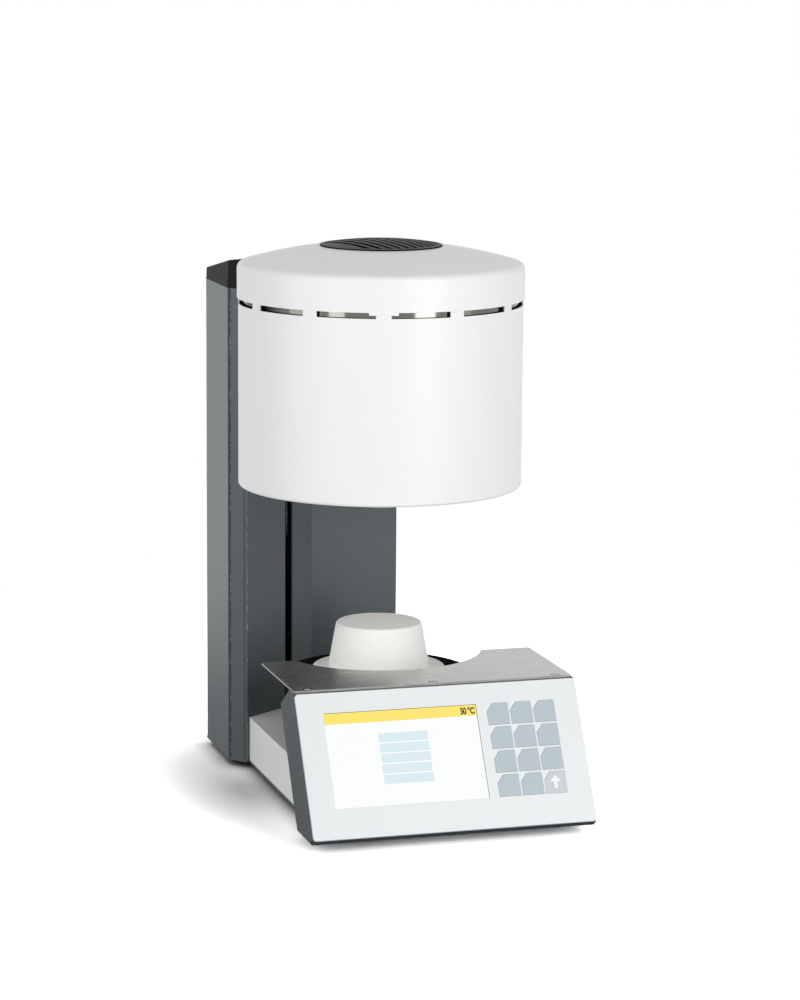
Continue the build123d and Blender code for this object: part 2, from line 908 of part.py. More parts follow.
# the grille is a domed disc in the lid's opening, ribbed but for a plain segment
grille_rim_z = dome_z(grille_radius - grille_seat)
grille_top = grille_rim_z + grille_edge / 2 + grille_crown
grille_sphere = (grille_radius**2 + grille_crown**2) / (2 * grille_crown)
with BuildPart() as top_grille:
    turn([
        (0, grille_rim_z - grille_skirt),
        (grille_radius - grille_seat - fit_gap, grille_rim_z - grille_skirt),
        (grille_radius - grille_seat - fit_gap, grille_rim_z + fit_gap / 2),
        (grille_radius, grille_rim_z + fit_gap / 2),
        (grille_radius, grille_top),
        (0, grille_top),
    ])
    with Locations((head_x, head_y, grille_top - grille_sphere)):
        Sphere(grille_sphere, rotation=(90, 0, 0), mode=Mode.INTERSECT)
    grille_bore = grille_radius - grille_seat - grille_wall
    rod(level(grille_rim_z - grille_skirt), grille_bore, grille_skirt - grille_edge, Mode.SUBTRACT)
    # the gaps between the ribs, cut only inside the rim
    rib_plane = Plane(
        origin=(head_x, head_y, grille_rim_z - grille_edge),
        x_dir=(cos(radians(rib_angle)), sin(radians(rib_angle)), 0),
        z_dir=(0, 0, 1),
    )
    with BuildSketch(rib_plane):
        for number in range(rib_slot_count):
            with Locations((0, rib_pitch * number - plain_reach)):
                Rectangle(2 * grille_radius, rib_gap)
        Circle(grille_bore - grille_wall / 2, mode=Mode.INTERSECT)
    extrude(amount=grille_skirt + grille_crown, mode=Mode.SUBTRACT)
    # thin cross bars under the ribs tie them together
    cross_count = int(2 * grille_bore / cross_pitch)
    with BuildSketch(rib_plane):
        with GridLocations(cross_pitch, 1, cross_count, 1):
            Rectangle(cross_width, 2 * grille_radius)
        Circle(grille_bore + grille_wall / 2, mode=Mode.INTERSECT)
    extrude(amount=cross_height)
save(top_grille, "top_grille")

with BuildPart() as head_base_ring:
    turn([
        (mouth_radius + fit_gap, ring_low),
        (ring_radius, ring_low),
        (ring_radius, ring_top),
        (mouth_radius + fit_gap, ring_top),
    ])
    with Locations(Plane(origin=(head_x, head_y, ring_low), x_dir=(1, 0, 0), z_dir=(0, 0, -1))):
        with PolarLocations(ring_screw_place, ring_screw_count, start_angle=0):
            CounterSinkHole(ring_screw_radius + screw_play, ring_screw_head + screw_play)
save(head_base_ring, "head_base_ring")

with BuildPart() as head_screws:
    for number in range(ring_screw_count):
        angle = radians(360 / ring_screw_count * number)
        screw_x = head_x + ring_screw_place * cos(angle)
        screw_y = head_y - ring_screw_place * sin(angle)
        screw_line = Axis((screw_x, screw_y, 0), (0, 0, 1))
        with BuildSketch(Plane(origin=(screw_x, screw_y, 0), x_dir=(1, 0, 0), z_dir=(0, -1, 0))) as shank:
            with BuildLine():
                Polyline(
                    (0, ring_low),
                    (ring_screw_head, ring_low),
                    (ring_screw_radius, ring_low + ring_screw_head - ring_screw_radius),
                    (ring_screw_radius, ring_top + ring_screw_reach),
                    (0, ring_top + ring_screw_reach),
                    close=True,
                )
            make_face()
        revolve(shank.sketch, axis=screw_line)
        with BuildSketch(Plane.XY.offset(ring_low)) as socket:
            with Locations((screw_x, screw_y)):
                RegularPolygon(hex_key, 6)
        extrude(socket.sketch, amount=hex_depth, mode=Mode.SUBTRACT)
save(head_screws, "head_screws")

with BuildPart() as mouth_ring:
    turn([
        (chamber_radius, mouth_low),
        (mouth_radius, mouth_low),
        (mouth_radius, ring_top),
        (mouth_flange_radius, ring_top),
        (mouth_flange_radius, mouth_top),
        (chamber_radius, mouth_top),
    ])
save(mouth_ring, "mouth_ring")

with BuildPart() as heating_muffle:
    muffle_outer = chamber_radius + muffle_wall
    muffle_top = mouth_top + muffle_height
    turn([
        (chamber_radius, mouth_top),
        (muffle_outer, mouth_top),
        (muffle_outer, muffle_top),
        (chamber_radius, muffle_top),
    ])
    # the wound heater shows as ribs round the chamber wall
    groove = muffle_height / (2 * muffle_rib_count + 1)
    for number in range(muffle_rib_count):
        groove_low = mouth_top + groove * (2 * number + 1)
        turn(
            [
                (chamber_radius - cut_margin, groove_low),
                (chamber_radius + muffle_rib_depth, groove_low),
                (chamber_radius + muffle_rib_depth, groove_low + groove),
                (chamber_radius - cut_margin, groove_low + groove),
            ],
            Mode.SUBTRACT,
        )
save(heating_muffle, "heating_muffle")

with BuildPart() as insulation_block:
    block_radius = casing_radius - casing_sheet - fit_gap
    turn([
        (0, chamber_top),
        (muffle_outer + fit_gap, chamber_top),
        (muffle_outer + fit_gap, mouth_top + fit_gap),
        (mouth_flange_radius + fit_gap, mouth_top + fit_gap),
        (mouth_flange_radius + fit_gap, ring_top),
        (block_radius, ring_top),
        (block_radius, casing_top - casing_sheet - fit_gap),
        (0, casing_top - casing_sheet - fit_gap),
    ])
    rod(level(chamber_top), probe_radius + fit_gap, casing_top - chamber_top, Mode.SUBTRACT)
save(insulation_block, "insulation_block")

with BuildPart() as muffle_casing:
    turn([
        (casing_radius - casing_sheet, ring_top),
        (casing_radius, ring_top),
        (casing_radius, casing_top),
        (probe_radius + fit_gap, casing_top),
        (probe_radius + fit_gap, casing_top - casing_sheet),
        (casing_radius - casing_sheet, casing_top - casing_sheet),
    ])
save(muffle_casing, "muffle_casing")

with BuildPart() as thermocouple:
    turn([
        (0, chamber_top - probe_reach),
        (probe_radius, chamber_top - probe_reach),
        (probe_radius, casing_top),
        (probe_head_radius, casing_top),
        (probe_head_radius, casing_top + probe_head_height),
        (0, casing_top + probe_head_height),
    ])
save(thermocouple, "thermocouple")

with BuildPart() as heat_shield:
    turn([
        (shield_radius - shield_sheet, ring_top),
        (shield_radius, ring_top),
        (shield_radius, hood_top - shield_drop),
        (shield_radius - shield_sheet, hood_top - shield_drop),
    ])
    shield_start = wall_reach(shield_radius, slot_offset)
    block(
        lift_plane(slot_offset, -shield_start, ring_top),
        arm_foot_width + 4 * fit_gap,
        4 * wall_cut,
        arm_height + 2 * fit_gap,
        Mode.SUBTRACT,
    )
save(heat_shield, "heat_shield")

# ---------------------------------------------------------------- firing table
with BuildPart() as table_drum:
    turn([
        (drum_radius - drum_wall, table_low),
        (drum_radius, table_low),
        (drum_radius, base_top_z),
        (drum_radius - drum_wall - drum_lip, base_top_z),
        (drum_radius - drum_wall - drum_lip, base_top_z + drum_wall),
        (drum_radius - drum_wall, base_top_z + drum_wall),
    ])
save(table_drum, "table_drum")

with BuildPart() as table_plate:
    turn([
        (cable_hole_radius, table_low),
        (drum_radius, table_low),
        (drum_radius, table_top),
        (disc_radius + fit_gap, table_top),
        (disc_radius + fit_gap, table_top - disc_seat),
        (cable_hole_radius, table_top - disc_seat),
    ])
    top_circles = table_plate.edges().filter_by(GeomType.CIRCLE).group_by(Axis.Z)[-1]
    chamfer(top_circles.sort_by(SortBy.LENGTH)[-1], table_edge)
save(table_plate, "table_plate")

with BuildPart() as fibre_disc:
    rod(level(table_top - disc_seat), disc_radius, disc_seat + disc_proud)
    chamfer(fibre_disc.edges().group_by(Axis.Z)[-1], disc_edge)
save(fibre_disc, "fibre_disc")

with BuildPart() as firing_plinth:
    turn([
        (0, disc_top),
        (foot_ring_radius, disc_top),
        (foot_ring_radius, disc_top + foot_ring_height),
        (cone_low_radius, disc_top + foot_ring_height),
        (cone_top_radius, plinth_top),
        (0, plinth_top),
    ])
    fillet(firing_plinth.edges().group_by(Axis.Z)[-1], plinth_edge)
save(firing_plinth, "firing_plinth")

# ---------------------------------------------------------------- control housing
panel_left_x = centre_x - panel_width / 2
plate_screw_places = [
    (centre_x + side * plate_screw_spread, plate_front_y + plate_screw_inset)
    for side in (-1, 0, 1)
]
with BuildPart() as control_housing:
    with BuildSketch(Plane.YZ.offset(panel_left_x)):
        with BuildLine():
            Polyline(*housing_profile, close=True)
        make_face()
    extrude(amount=panel_width)
    offset(
        amount=-housing_sheet,
        openings=control_housing.faces().sort_by(Axis(panel_middle, panel_normal))[-1],
        kind=Kind.INTERSECTION,
    )
    with BuildSketch(Plane.XY.offset(plate_bottom_z)):
        with Locations(*plate_screw_places):
            Circle(plate_screw_radius + screw_play)
    extrude(amount=-2 * housing_sheet, mode=Mode.SUBTRACT)
    # cable hole through the back, into the base
    with BuildSketch(panel_plane(housing_depth + housing_sheet)):
        with Locations((-panel_offset, -panel_length / 3)):
            Circle(cable_hole_radius)
    extrude(amount=3 * housing_sheet, mode=Mode.SUBTRACT)
save(control_housing, "control_housing")


def key_places():
    """The middle of each key on the panel, row by row from the top left."""
    for row in range(key_rows):
        for column in range(key_columns):
            x = key_grid_offset + (column - (key_columns - 1) / 2) * key_pitch_x
            y = key_grid_rise - (row - (key_rows - 1) / 2) * key_pitch_y
            yield x, y


def key_outline(grow):
    """A key's face with its cut corner, larger by grow all round."""
    half_x = key_width / 2 + grow
    half_y = key_height / 2 + grow
    with BuildSketch() as face:
        with BuildLine():
            Polyline(
                (-half_x, -half_y),
                (half_x, -half_y),
                (half_x, half_y),
                (-half_x + key_clip_x, half_y),
                (-half_x, half_y - key_clip_y),
                close=True,
            )
        make_face()
    return face.sketch


key_window = key_outline(key_gap)
key_cap = key_outline(0)
key_base = key_outline(key_flange_width)

board_depth = panel_thickness + key_rest_gap + key_flange + key_travel + key_rest_gap + stud_height
board_half_y = (key_rows * key_pitch_y) / 2 + board_margin
with BuildPart() as front_panel:
    with BuildSketch(panel_plane(panel_thickness)):
        RectangleRounded(panel_width, panel_length, panel_corner)
        with Locations((display_offset, display_rise)):
            Rectangle(display_width, display_height, mode=Mode.SUBTRACT)
    extrude(amount=panel_thickness)
    for place in key_places():
        with BuildSketch(panel_plane(panel_thickness)) as window:
            with Locations(place):
                add(key_window)
        extrude(window.sketch, amount=panel_thickness, mode=Mode.SUBTRACT)
    # bosses behind the panel carry the key board
    with BuildSketch(panel_plane(panel_thickness)) as bosses:
        with Locations((key_grid_offset, key_grid_rise)):
            with GridLocations(key_pitch_x, 2 * board_half_y - 3 * boss_radius, 2, 2):
                Circle(boss_radius)
    extrude(bosses.sketch, amount=-(board_depth - panel_thickness))
save(front_panel, "front_panel")

for number, place in enumerate(key_places(), start=1):
    with BuildPart() as key:
        with BuildSketch(panel_plane(panel_thickness + key_rest_gap)) as cap_face:
            with Locations(place):
                add(key_cap)
        extrude(cap_face.sketch, amount=panel_thickness + key_rest_gap + key_proud)
        with BuildSketch(panel_plane(panel_thickness + key_rest_gap)) as flange_face:
            with Locations(place):
                add(key_base)
        extrude(flange_face.sketch, amount=-key_flange)
    save(key, f"key_{number}")

with BuildPart() as keypad_board:
    with BuildSketch(panel_plane(board_depth)) as board_face:
        with Locations((key_grid_offset, key_grid_rise)):
            Rectangle(key_columns * key_pitch_x, 2 * board_half_y)
    extrude(board_face.sketch, amount=-board_sheet)
    with BuildSketch(panel_plane(board_depth)) as studs:
        with Locations(*key_places()):
            Circle(stud_radius)
    extrude(studs.sketch, amount=stud_height)
save(keypad_board, "keypad_board")

with BuildPart() as display_module:
    with BuildSketch(panel_plane(panel_thickness)) as glass_face:
        with Locations((display_offset, display_rise)):
            Rectangle(display_width - key_gap, display_height - key_gap)
    extrude(glass_face.sketch, amount=panel_thickness - display_recess)
    with BuildSketch(panel_plane(panel_thickness)) as frame_face:
        with Locations((display_offset, display_rise)):
            Rectangle(display_width + 2 * display_border, display_height + 2 * display_border)
    extrude(frame_face.sketch, amount=-display_depth)
save(display_module, "display_module")

# ---------------------------------------------------------------- cover plate
with BuildPart() as cover_plate:
    with BuildSketch(Plane.XY.offset(plate_bottom_z)):
        with Locations((centre_x, plate_front_y + plate_length / 2)):
            RectangleRounded(plate_width, plate_length, plate_corner)
        with Locations((head_x, head_y)):
            Circle(plate_hole_radius, mode=Mode.SUBTRACT)
    extrude(amount=plate_thickness)
    with Locations(*[(x, y, plate_top_z) for x, y in plate_screw_places]):
        CounterSinkHole(plate_screw_radius + screw_play, plate_screw_head + screw_play)
save(cover_plate, "cover_plate")

with BuildPart() as plate_screws:
    for x, y in plate_screw_places:
        with BuildSketch(Plane(origin=(x, y, 0), x_dir=(1, 0, 0), z_dir=(0, -1, 0))) as shank:
            with BuildLine():
                Polyline(
                    (0, plate_top_z),
                    (plate_screw_head, plate_top_z),
                    (plate_screw_radius, plate_top_z - (plate_screw_head - plate_screw_radius)),
                    (plate_screw_radius, plate_top_z - plate_screw_length),
                    (0, plate_top_z - plate_screw_length),
                    close=True,
                )
            make_face()
        revolve(shank.sketch, axis=Axis((x, y, 0), (0, 0, 1)))
        with BuildSketch(Plane.XY.offset(plate_top_z)) as socket:
            with Locations((x, y)):
                RegularPolygon(hex_key, 6)
        extrude(socket.sketch, amount=-hex_depth, mode=Mode.SUBTRACT)
save(plate_screws, "plate_screws")

# ---------------------------------------------------------------- electrics in the base
with BuildPart() as transformer:
    transformer_plane = Plane(
        origin=(base_right_x - transformer_width, flat_y - transformer_clearance, base_floor_z),
        x_dir=(1, 0, 0),
        z_dir=(0, 0, 1),
    )
    with BuildSketch(transformer_plane):
        RectangleRounded(transformer_width, transformer_length, transformer_corner)
    extrude(amount=transformer_height)
    # the winding shows at both ends of the core
    with BuildSketch(transformer_plane.offset(transformer_height / 4)):
        RectangleRounded(
            transformer_width - 2 * winding_reach,
            transformer_length + 2 * winding_reach,
            transformer_corner,
        )
    extrude(amount=transformer_height / 2)
save(transformer, "transformer")

with BuildPart() as control_board:
    board_x = base_left_x + board_width
    board_plane = Plane(
        origin=(board_x, head_y - board_length / 3, base_floor_z),
        x_dir=(1, 0, 0),
        z_dir=(0, 0, 1),
    )
    with BuildSketch(board_plane):
        post_inset = 4 * board_post_radius
        with GridLocations(board_width - post_inset, board_length - post_inset, 2, 2):
            Circle(board_post_radius)
    extrude(amount=board_post)
    with BuildSketch(board_plane.offset(board_post)):
        Rectangle(board_width, board_length)
    extrude(amount=board_sheet)
    with BuildSketch(board_plane.offset(board_post + board_sheet)):
        with GridLocations(board_width / 3, board_length / 4, 2, 3):
            Rectangle(board_width / 5, board_length / 8)
    extrude(amount=board_post)
save(control_board, "control_board")

# ---------------------------------------------------------------- rear cover
cover_low = base_floor_z + cover_margin
cover_high = column_top_z - cover_margin
cover_face_y = rear_y + rear_sheet
fan_x = column_middle_x + fan_offset
inlet_x = column_middle_x + inlet_offset
switch_x = column_middle_x + switch_offset
cover_screw_levels = [cover_low + rear_flange, (cover_low + cover_high) / 2, cover_high - rear_flange]
cover_screw_places = [
    (side * (column_width / 2 - rear_flange / 2 - cover_screw_shift), z)
    for side in (-1, 1)
    for z in cover_screw_levels
]
with BuildPart() as column_rear_cover:
    with BuildSketch(rear_plane(column_middle_x, rear_y, 0)):
        with Locations((0, (cover_low + cover_high) / 2)):
            RectangleRounded(column_width - 2 * cover_margin, cover_high - cover_low, cover_corner)
        # inlet and switch cut-outs
        with Locations((column_middle_x - inlet_x, inlet_level)):
            Rectangle(inlet_width + key_gap, inlet_height + key_gap, mode=Mode.SUBTRACT)
        with Locations((column_middle_x - switch_x, switch_level)):
            Rectangle(switch_width + key_gap, switch_height + key_gap, mode=Mode.SUBTRACT)
        # fan outlet: rings of slots inside the fan's bore
        with Locations((column_middle_x - fan_x, fan_level)):
            with GridLocations(1, fan_vent_pitch, 1, rear_vent_rows):
                SlotOverall(fan_vent_length, vent_slot_width, mode=Mode.SUBTRACT)
        # air inlet slots lower down
        with Locations((0, rear_vent_level)):
            with GridLocations(2 * vent_slot_length, vent_slot_pitch, 2, rear_vent_rows):
                SlotOverall(vent_slot_length, vent_slot_width, mode=Mode.SUBTRACT)
        with Locations(*cover_screw_places):
            Circle(cover_screw_radius + screw_play, mode=Mode.SUBTRACT)
    extrude(amount=rear_sheet)
save(column_rear_cover, "column_rear_cover")

with BuildPart() as rear_cover_screws:
    with BuildSketch(rear_plane(column_middle_x, cover_face_y, 0)) as heads:
        with Locations(*cover_screw_places):
            Circle(cover_screw_head)
    extrude(heads.sketch, amount=cover_screw_proud)
    with BuildSketch(rear_plane(column_middle_x, cover_face_y, 0)) as shanks:
        with Locations(*cover_screw_places):
            Circle(cover_screw_radius)
    extrude(shanks.sketch, amount=-rear_sheet)
    head_faces = rear_cover_screws.faces().sort_by(Axis.Y)[-len(cover_screw_places):]
    chamfer(head_faces.edges(), cover_screw_chamfer)
save(rear_cover_screws, "rear_cover_screws")

# ---------------------------------------------------------------- fan
fan_front_y = rear_y - fit_gap - fan_thickness
fan_bore_radius = fan_size / 2 - fan_rim
fan_hole_pitch = fan_size - 2 * fan_hole_inset
rotor_y = fan_front_y + fan_strut_depth + fit_gap
rotor_length = rear_y - fan_blade_gap - rotor_y
with BuildPart() as fan_frame:
    with BuildSketch(rear_plane(fan_x, fan_front_y, fan_level)) as body_face:
        RectangleRounded(fan_size, fan_size, fan_corner)
        Circle(fan_bore_radius, mode=Mode.SUBTRACT)
        with GridLocations(fan_hole_pitch, fan_hole_pitch, 2, 2):
            Circle(fan_hole_radius, mode=Mode.SUBTRACT)
    extrude(body_face.sketch, amount=fan_thickness)
    # struts and the hub seat on the front side, with the rotor's pin
    with BuildSketch(rear_plane(fan_x, fan_front_y, fan_level)) as struts:
        with PolarLocations(0, 3):
            with Locations(((fan_bore_radius + fan_strut_root) / 2, 0)):
                Rectangle(fan_bore_radius + fan_strut_root, fan_strut)
        Circle(fan_hub_radius)
    extrude(struts.sketch, amount=fan_strut_depth)
    rod(
        rear_plane(fan_x, fan_front_y, fan_level),
        fan_pin_radius,
        fan_strut_depth + fit_gap + fan_pin_length,
    )
save(fan_frame, "fan_frame")

with BuildPart() as fan_rotor:
    rod(rear_plane(fan_x, rotor_y, fan_level), fan_hub_radius, rotor_length)
    blade_root = fan_hub_radius - fan_strut_root
    blade_length = fan_bore_radius - fan_blade_gap - blade_root
    for number in range(fan_blade_count):
        angle = radians(360 / fan_blade_count * number)
        radial = Vector(cos(angle), 0, sin(angle))
        tangent = Vector(-sin(angle), 0, cos(angle))
        pitch = radians(fan_blade_pitch)
        blade_plane = Plane(
            origin=(fan_x, rotor_y + rotor_length / 2, fan_level),
            x_dir=radial,
            z_dir=tangent * cos(pitch) + Vector(0, sin(pitch), 0),
        )
        with BuildSketch(blade_plane.offset(-fan_blade_sheet / 2)) as blade:
            with Locations((blade_root + blade_length / 2, 0)):
                Rectangle(blade_length, rotor_length)
        extrude(blade.sketch, amount=fan_blade_sheet)
    rod(
        rear_plane(fan_x, rotor_y, fan_level),
        fan_pin_radius + running_gap,
        fan_pin_length + fan_pin_play,
        Mode.SUBTRACT,
    )
save(fan_rotor, "fan_rotor")

# ---------------------------------------------------------------- mains inlet and switch
with BuildPart() as mains_inlet:
    with BuildSketch(rear_plane(inlet_x, cover_face_y, inlet_level)) as flange_face:
        RectangleRounded(
            inlet_width + 2 * inlet_flange_margin,
            inlet_height + 2 * inlet_flange_margin,
            inlet_corner,
        )
    extrude(flange_face.sketch, amount=inlet_flange)
    block(rear_plane(inlet_x, cover_face_y, inlet_level), inlet_width, inlet_height, -inlet_depth)
    socket_shift = (inlet_width - socket_width) / 2 - inlet_flange_margin
    socket_plane = rear_plane(inlet_x + socket_shift, cover_face_y + inlet_flange, inlet_level)
    with BuildSketch(socket_plane) as recess:
        with BuildLine():
            Polyline(
                (-socket_width / 2, -socket_height / 2),
                (socket_width / 2, -socket_height / 2),
                (socket_width / 2, socket_height / 2 - socket_clip),
                (socket_width / 2 - socket_clip, socket_height / 2),
                (-socket_width / 2 + socket_clip, socket_height / 2),
                (-socket_width / 2, socket_height / 2 - socket_clip),
                close=True,
            )
        make_face()
    extrude(recess.sketch, amount=-socket_depth, mode=Mode.SUBTRACT)
    with BuildSketch(socket_plane.offset(-socket_depth)) as pins:
        with Locations((-pin_spread, -pin_drop), (pin_spread, -pin_drop), (0, pin_drop)):
            Rectangle(pin_width, pin_height)
    extrude(pins.sketch, amount=pin_length)
    # the fuse drawer beside the socket is a shallow raised plate
    drawer_x = inlet_x - (inlet_width - drawer_width) / 2 + inlet_flange_margin
    drawer_plane = rear_plane(drawer_x, cover_face_y + inlet_flange, inlet_level)
    block(drawer_plane, drawer_width, socket_height, drawer_proud)
save(mains_inlet, "mains_inlet")

rocker_y = cover_face_y + switch_flange - rocker_depth / 2
with BuildPart() as switch_frame:
    with BuildSketch(rear_plane(switch_x, cover_face_y, switch_level)) as flange_face:
        RectangleRounded(
            switch_width + 2 * switch_margin,
            switch_height + 2 * switch_margin,
            inlet_corner,
        )
    extrude(flange_face.sketch, amount=switch_flange)
    block(rear_plane(switch_x, cover_face_y, switch_level), switch_width, switch_height, -switch_depth)
    block(
        rear_plane(switch_x, cover_face_y + switch_flange, switch_level),
        rocker_width + 2 * rocker_way,
        rocker_height + 2 * rocker_way,
        -(rocker_depth + 2 * switch_flange),
        Mode.SUBTRACT,
    )
    # the pin that the rocker tips on
    pin_plane = Plane(
        origin=(switch_x - rocker_width / 2 - rocker_way, rocker_y, switch_level),
        x_dir=(0, 1, 0),
        z_dir=(1, 0, 0),
    )
    rod(pin_plane, rocker_pin_radius, rocker_width + 2 * rocker_way)
save(switch_frame, "switch_frame")

with BuildPart() as rocker:
    rocker_frame = Plane(
        origin=(switch_x - rocker_width / 2, rocker_y, switch_level),
        x_dir=(0, cos(radians(rocker_tilt)), sin(radians(rocker_tilt))),
        z_dir=(1, 0, 0),
    )
    with BuildSketch(rocker_frame) as side:
        with BuildLine():
            Polyline(
                (-rocker_depth / 2, -rocker_height / 4),
                (-rocker_depth / 2, rocker_height / 4),
                (rocker_depth / 4, rocker_height / 2 - rocker_way),
                (rocker_depth / 2 + rocker_way, rocker_height / 2 - rocker_way),
                (rocker_depth / 2, 0),
                (rocker_depth / 2 + rocker_way, -rocker_height / 2 + rocker_way),
                (rocker_depth / 4, -rocker_height / 2 + rocker_way),
                close=True,
            )
        make_face()
        Circle(rocker_pin_radius + running_gap, mode=Mode.SUBTRACT)
    extrude(side.sketch, amount=rocker_width)
save(rocker, "rocker")
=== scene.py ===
# %% [markdown]
# # A dental laboratory furnace
# A round white heating head hangs on a slate-grey sheet-metal column. Below it a fibre plinth
# stands on a round table, and in front there is a tilted panel with a screen and twelve keys.
# The exact solids come from the CAD frame, so this script only gives them their surfaces, adds
# what a solid model leaves out, and sets up the studio. Everything is in metres, with +Z up and
# -Y towards the person who uses the furnace.

# %% Load the fixed frame
import math

import bmesh
import bpy
from mathutils import Matrix, Vector


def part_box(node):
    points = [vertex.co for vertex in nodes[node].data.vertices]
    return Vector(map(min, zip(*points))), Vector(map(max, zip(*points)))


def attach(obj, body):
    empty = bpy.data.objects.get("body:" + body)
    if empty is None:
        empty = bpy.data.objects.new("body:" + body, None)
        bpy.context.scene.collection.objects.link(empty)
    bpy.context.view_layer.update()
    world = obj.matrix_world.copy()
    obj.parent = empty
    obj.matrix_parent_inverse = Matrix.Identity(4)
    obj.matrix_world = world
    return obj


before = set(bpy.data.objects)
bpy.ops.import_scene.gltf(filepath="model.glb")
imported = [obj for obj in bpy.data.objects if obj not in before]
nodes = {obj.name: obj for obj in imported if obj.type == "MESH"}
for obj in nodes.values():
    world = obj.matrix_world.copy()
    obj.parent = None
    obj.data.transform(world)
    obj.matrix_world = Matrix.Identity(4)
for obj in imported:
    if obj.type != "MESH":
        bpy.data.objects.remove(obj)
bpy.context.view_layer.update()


def rounded(values, digits=4):
    """Numbers cut to a few digits, for printing."""
    return [round(value, digits) for value in values]


# %% [markdown]
# ## Places to build from
# Two places are used again and again: the vertical axis of the round head, and the face of the
# tilted panel. Both are read from the frame's boxes, so the new pieces land where the solids
# are. Only the tilt and the length of the panel are typed in, because a box can't tell them.

# %% Find the head's axis and the panel's face
PANEL_TILT = math.radians(30.4)
PANEL_LENGTH = 0.1435

hood_low, hood_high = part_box("hood_shell")
head_axis = (hood_low + hood_high) / 2
head_axis.z = 0.0

panel_low, panel_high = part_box("front_panel")
panel_up = Vector((0.0, math.sin(PANEL_TILT), math.cos(PANEL_TILT)))
panel_out = Vector((0.0, -math.cos(PANEL_TILT), math.sin(PANEL_TILT)))
panel_middle = Vector((
    (panel_low.x + panel_high.x) / 2,
    panel_low.y + PANEL_LENGTH / 2 * math.sin(PANEL_TILT),
    panel_high.z - PANEL_LENGTH / 2 * math.cos(PANEL_TILT),
))


def on_panel(x, y, lift=0.0):
    """The point x right of the panel's middle, y up its slope and lift in front of its face."""
    return panel_middle + Vector((1, 0, 0)) * x + panel_up * y + panel_out * lift


print("head axis:", rounded(head_axis), "panel middle:", rounded(panel_middle))

# %% [markdown]
# ## Shader node groups
# Several finishes share the same small effects: the orange-peel grain of a powder coat, the
# faint smudges that a handled machine has, the streaks of brushed steel and the mottling of
# pressed fibre. Each effect is a node group, built once, with sliders on its outside. A material
# drops the group in and sets its own values, which keeps every material short.


# %% Helpers that build node trees
def put(tree, kind, links=None, **settings):
    """Add a node, set its properties, and give its inputs values or (node, output) pairs."""
    node = tree.nodes.new(kind)
    for key, value in settings.items():
        setattr(node, key, value)
    for socket, source in (links or {}).items():
        if isinstance(source, tuple) and isinstance(source[0], bpy.types.Node):
            tree.links.new(source[0].outputs[source[1]], node.inputs[socket])
        else:
            node.inputs[socket].default_value = source
    return node


def math_node(tree, operation, first, second=0.0):
    """A math node; each side is a number or a (node, output) pair."""
    return put(tree, "ShaderNodeMath", {0: first, 1: second}, operation=operation)


def remap(tree, source, low, high, new_low=0.0, new_high=1.0):
    """Stretch a value from low..high to new_low..new_high, held inside that range."""
    links = {"Value": source, "From Min": low, "From Max": high,
             "To Min": new_low, "To Max": new_high}
    return put(tree, "ShaderNodeMapRange", links, clamp=True)


def open_group(name, sliders, results):
    """A new shader node group with float sliders (name: default) and named float results."""
    group = bpy.data.node_groups.new(name, "ShaderNodeTree")
    for slider, default in sliders.items():
        socket = group.interface.new_socket(slider, in_out="INPUT", socket_type="NodeSocketFloat")
        socket.default_value = default
    for result in results:
        group.interface.new_socket(result, in_out="OUTPUT", socket_type="NodeSocketFloat")
    return group, group.nodes.new("NodeGroupInput"), group.nodes.new("NodeGroupOutput")


def close_group(group, outside, **results):
    """Link each result's node to the group's output of that name, and return the group."""
    for name, node in results.items():
        group.links.new(node.outputs[0], outside.inputs[name])
    print("group:", group.name)
    return group


# %% Powder coat: grain and light specks
FINER = 2.3
SPECK_START, SPECK_FULL = 0.45, 0.72


def build_coat_grain():
    """Fine orange peel in Height, and light specks above 1 in Tint."""
    group, inside, outside = open_group(
        "Coat Grain", {"Grains per Metre": 900.0, "Speckle": 0.1}, ("Height", "Tint")
    )
    place = put(group, "ShaderNodeTexCoord")
    cells = put(group, "ShaderNodeTexVoronoi",
                {"Vector": (place, "Object"), "Scale": (inside, "Grains per Metre"),
                 "Smoothness": 0.7},
                feature="SMOOTH_F1")
    fine_scale = math_node(group, "MULTIPLY", (inside, "Grains per Metre"), FINER)
    fine = put(group, "ShaderNodeTexNoise",
               {"Vector": (place, "Object"), "Scale": (fine_scale, 0), "Detail": 3.0,
                "Roughness": 0.6})
    height = math_node(group, "ADD", (cells, "Distance"), (fine, 0))
    specks = remap(group, (fine, 0), SPECK_START, SPECK_FULL)
    lift = math_node(group, "MULTIPLY", (specks, 0), (inside, "Speckle"))
    tint = math_node(group, "ADD", (lift, 0), 1.0)
    return close_group(group, outside, Height=height, Tint=tint)


coat_grain = build_coat_grain()


# %% Handling marks: slow smudges
def build_handling():
    """A slow cloud around 0 in Smudge, which makes a gloss a little uneven."""
    group, inside, outside = open_group(
        "Handling Marks", {"Size": 9.0, "Amount": 0.1}, ("Smudge",)
    )
    place = put(group, "ShaderNodeTexCoord")
    cloud = put(group, "ShaderNodeTexNoise",
                {"Vector": (place, "Object"), "Scale": (inside, "Size"), "Detail": 5.0,
                 "Roughness": 0.55})
    centred = math_node(group, "SUBTRACT", (cloud, 0), 0.5)
    smudge = math_node(group, "MULTIPLY", (centred, 0), (inside, "Amount"))
    return close_group(group, outside, Smudge=smudge)


handling = build_handling()


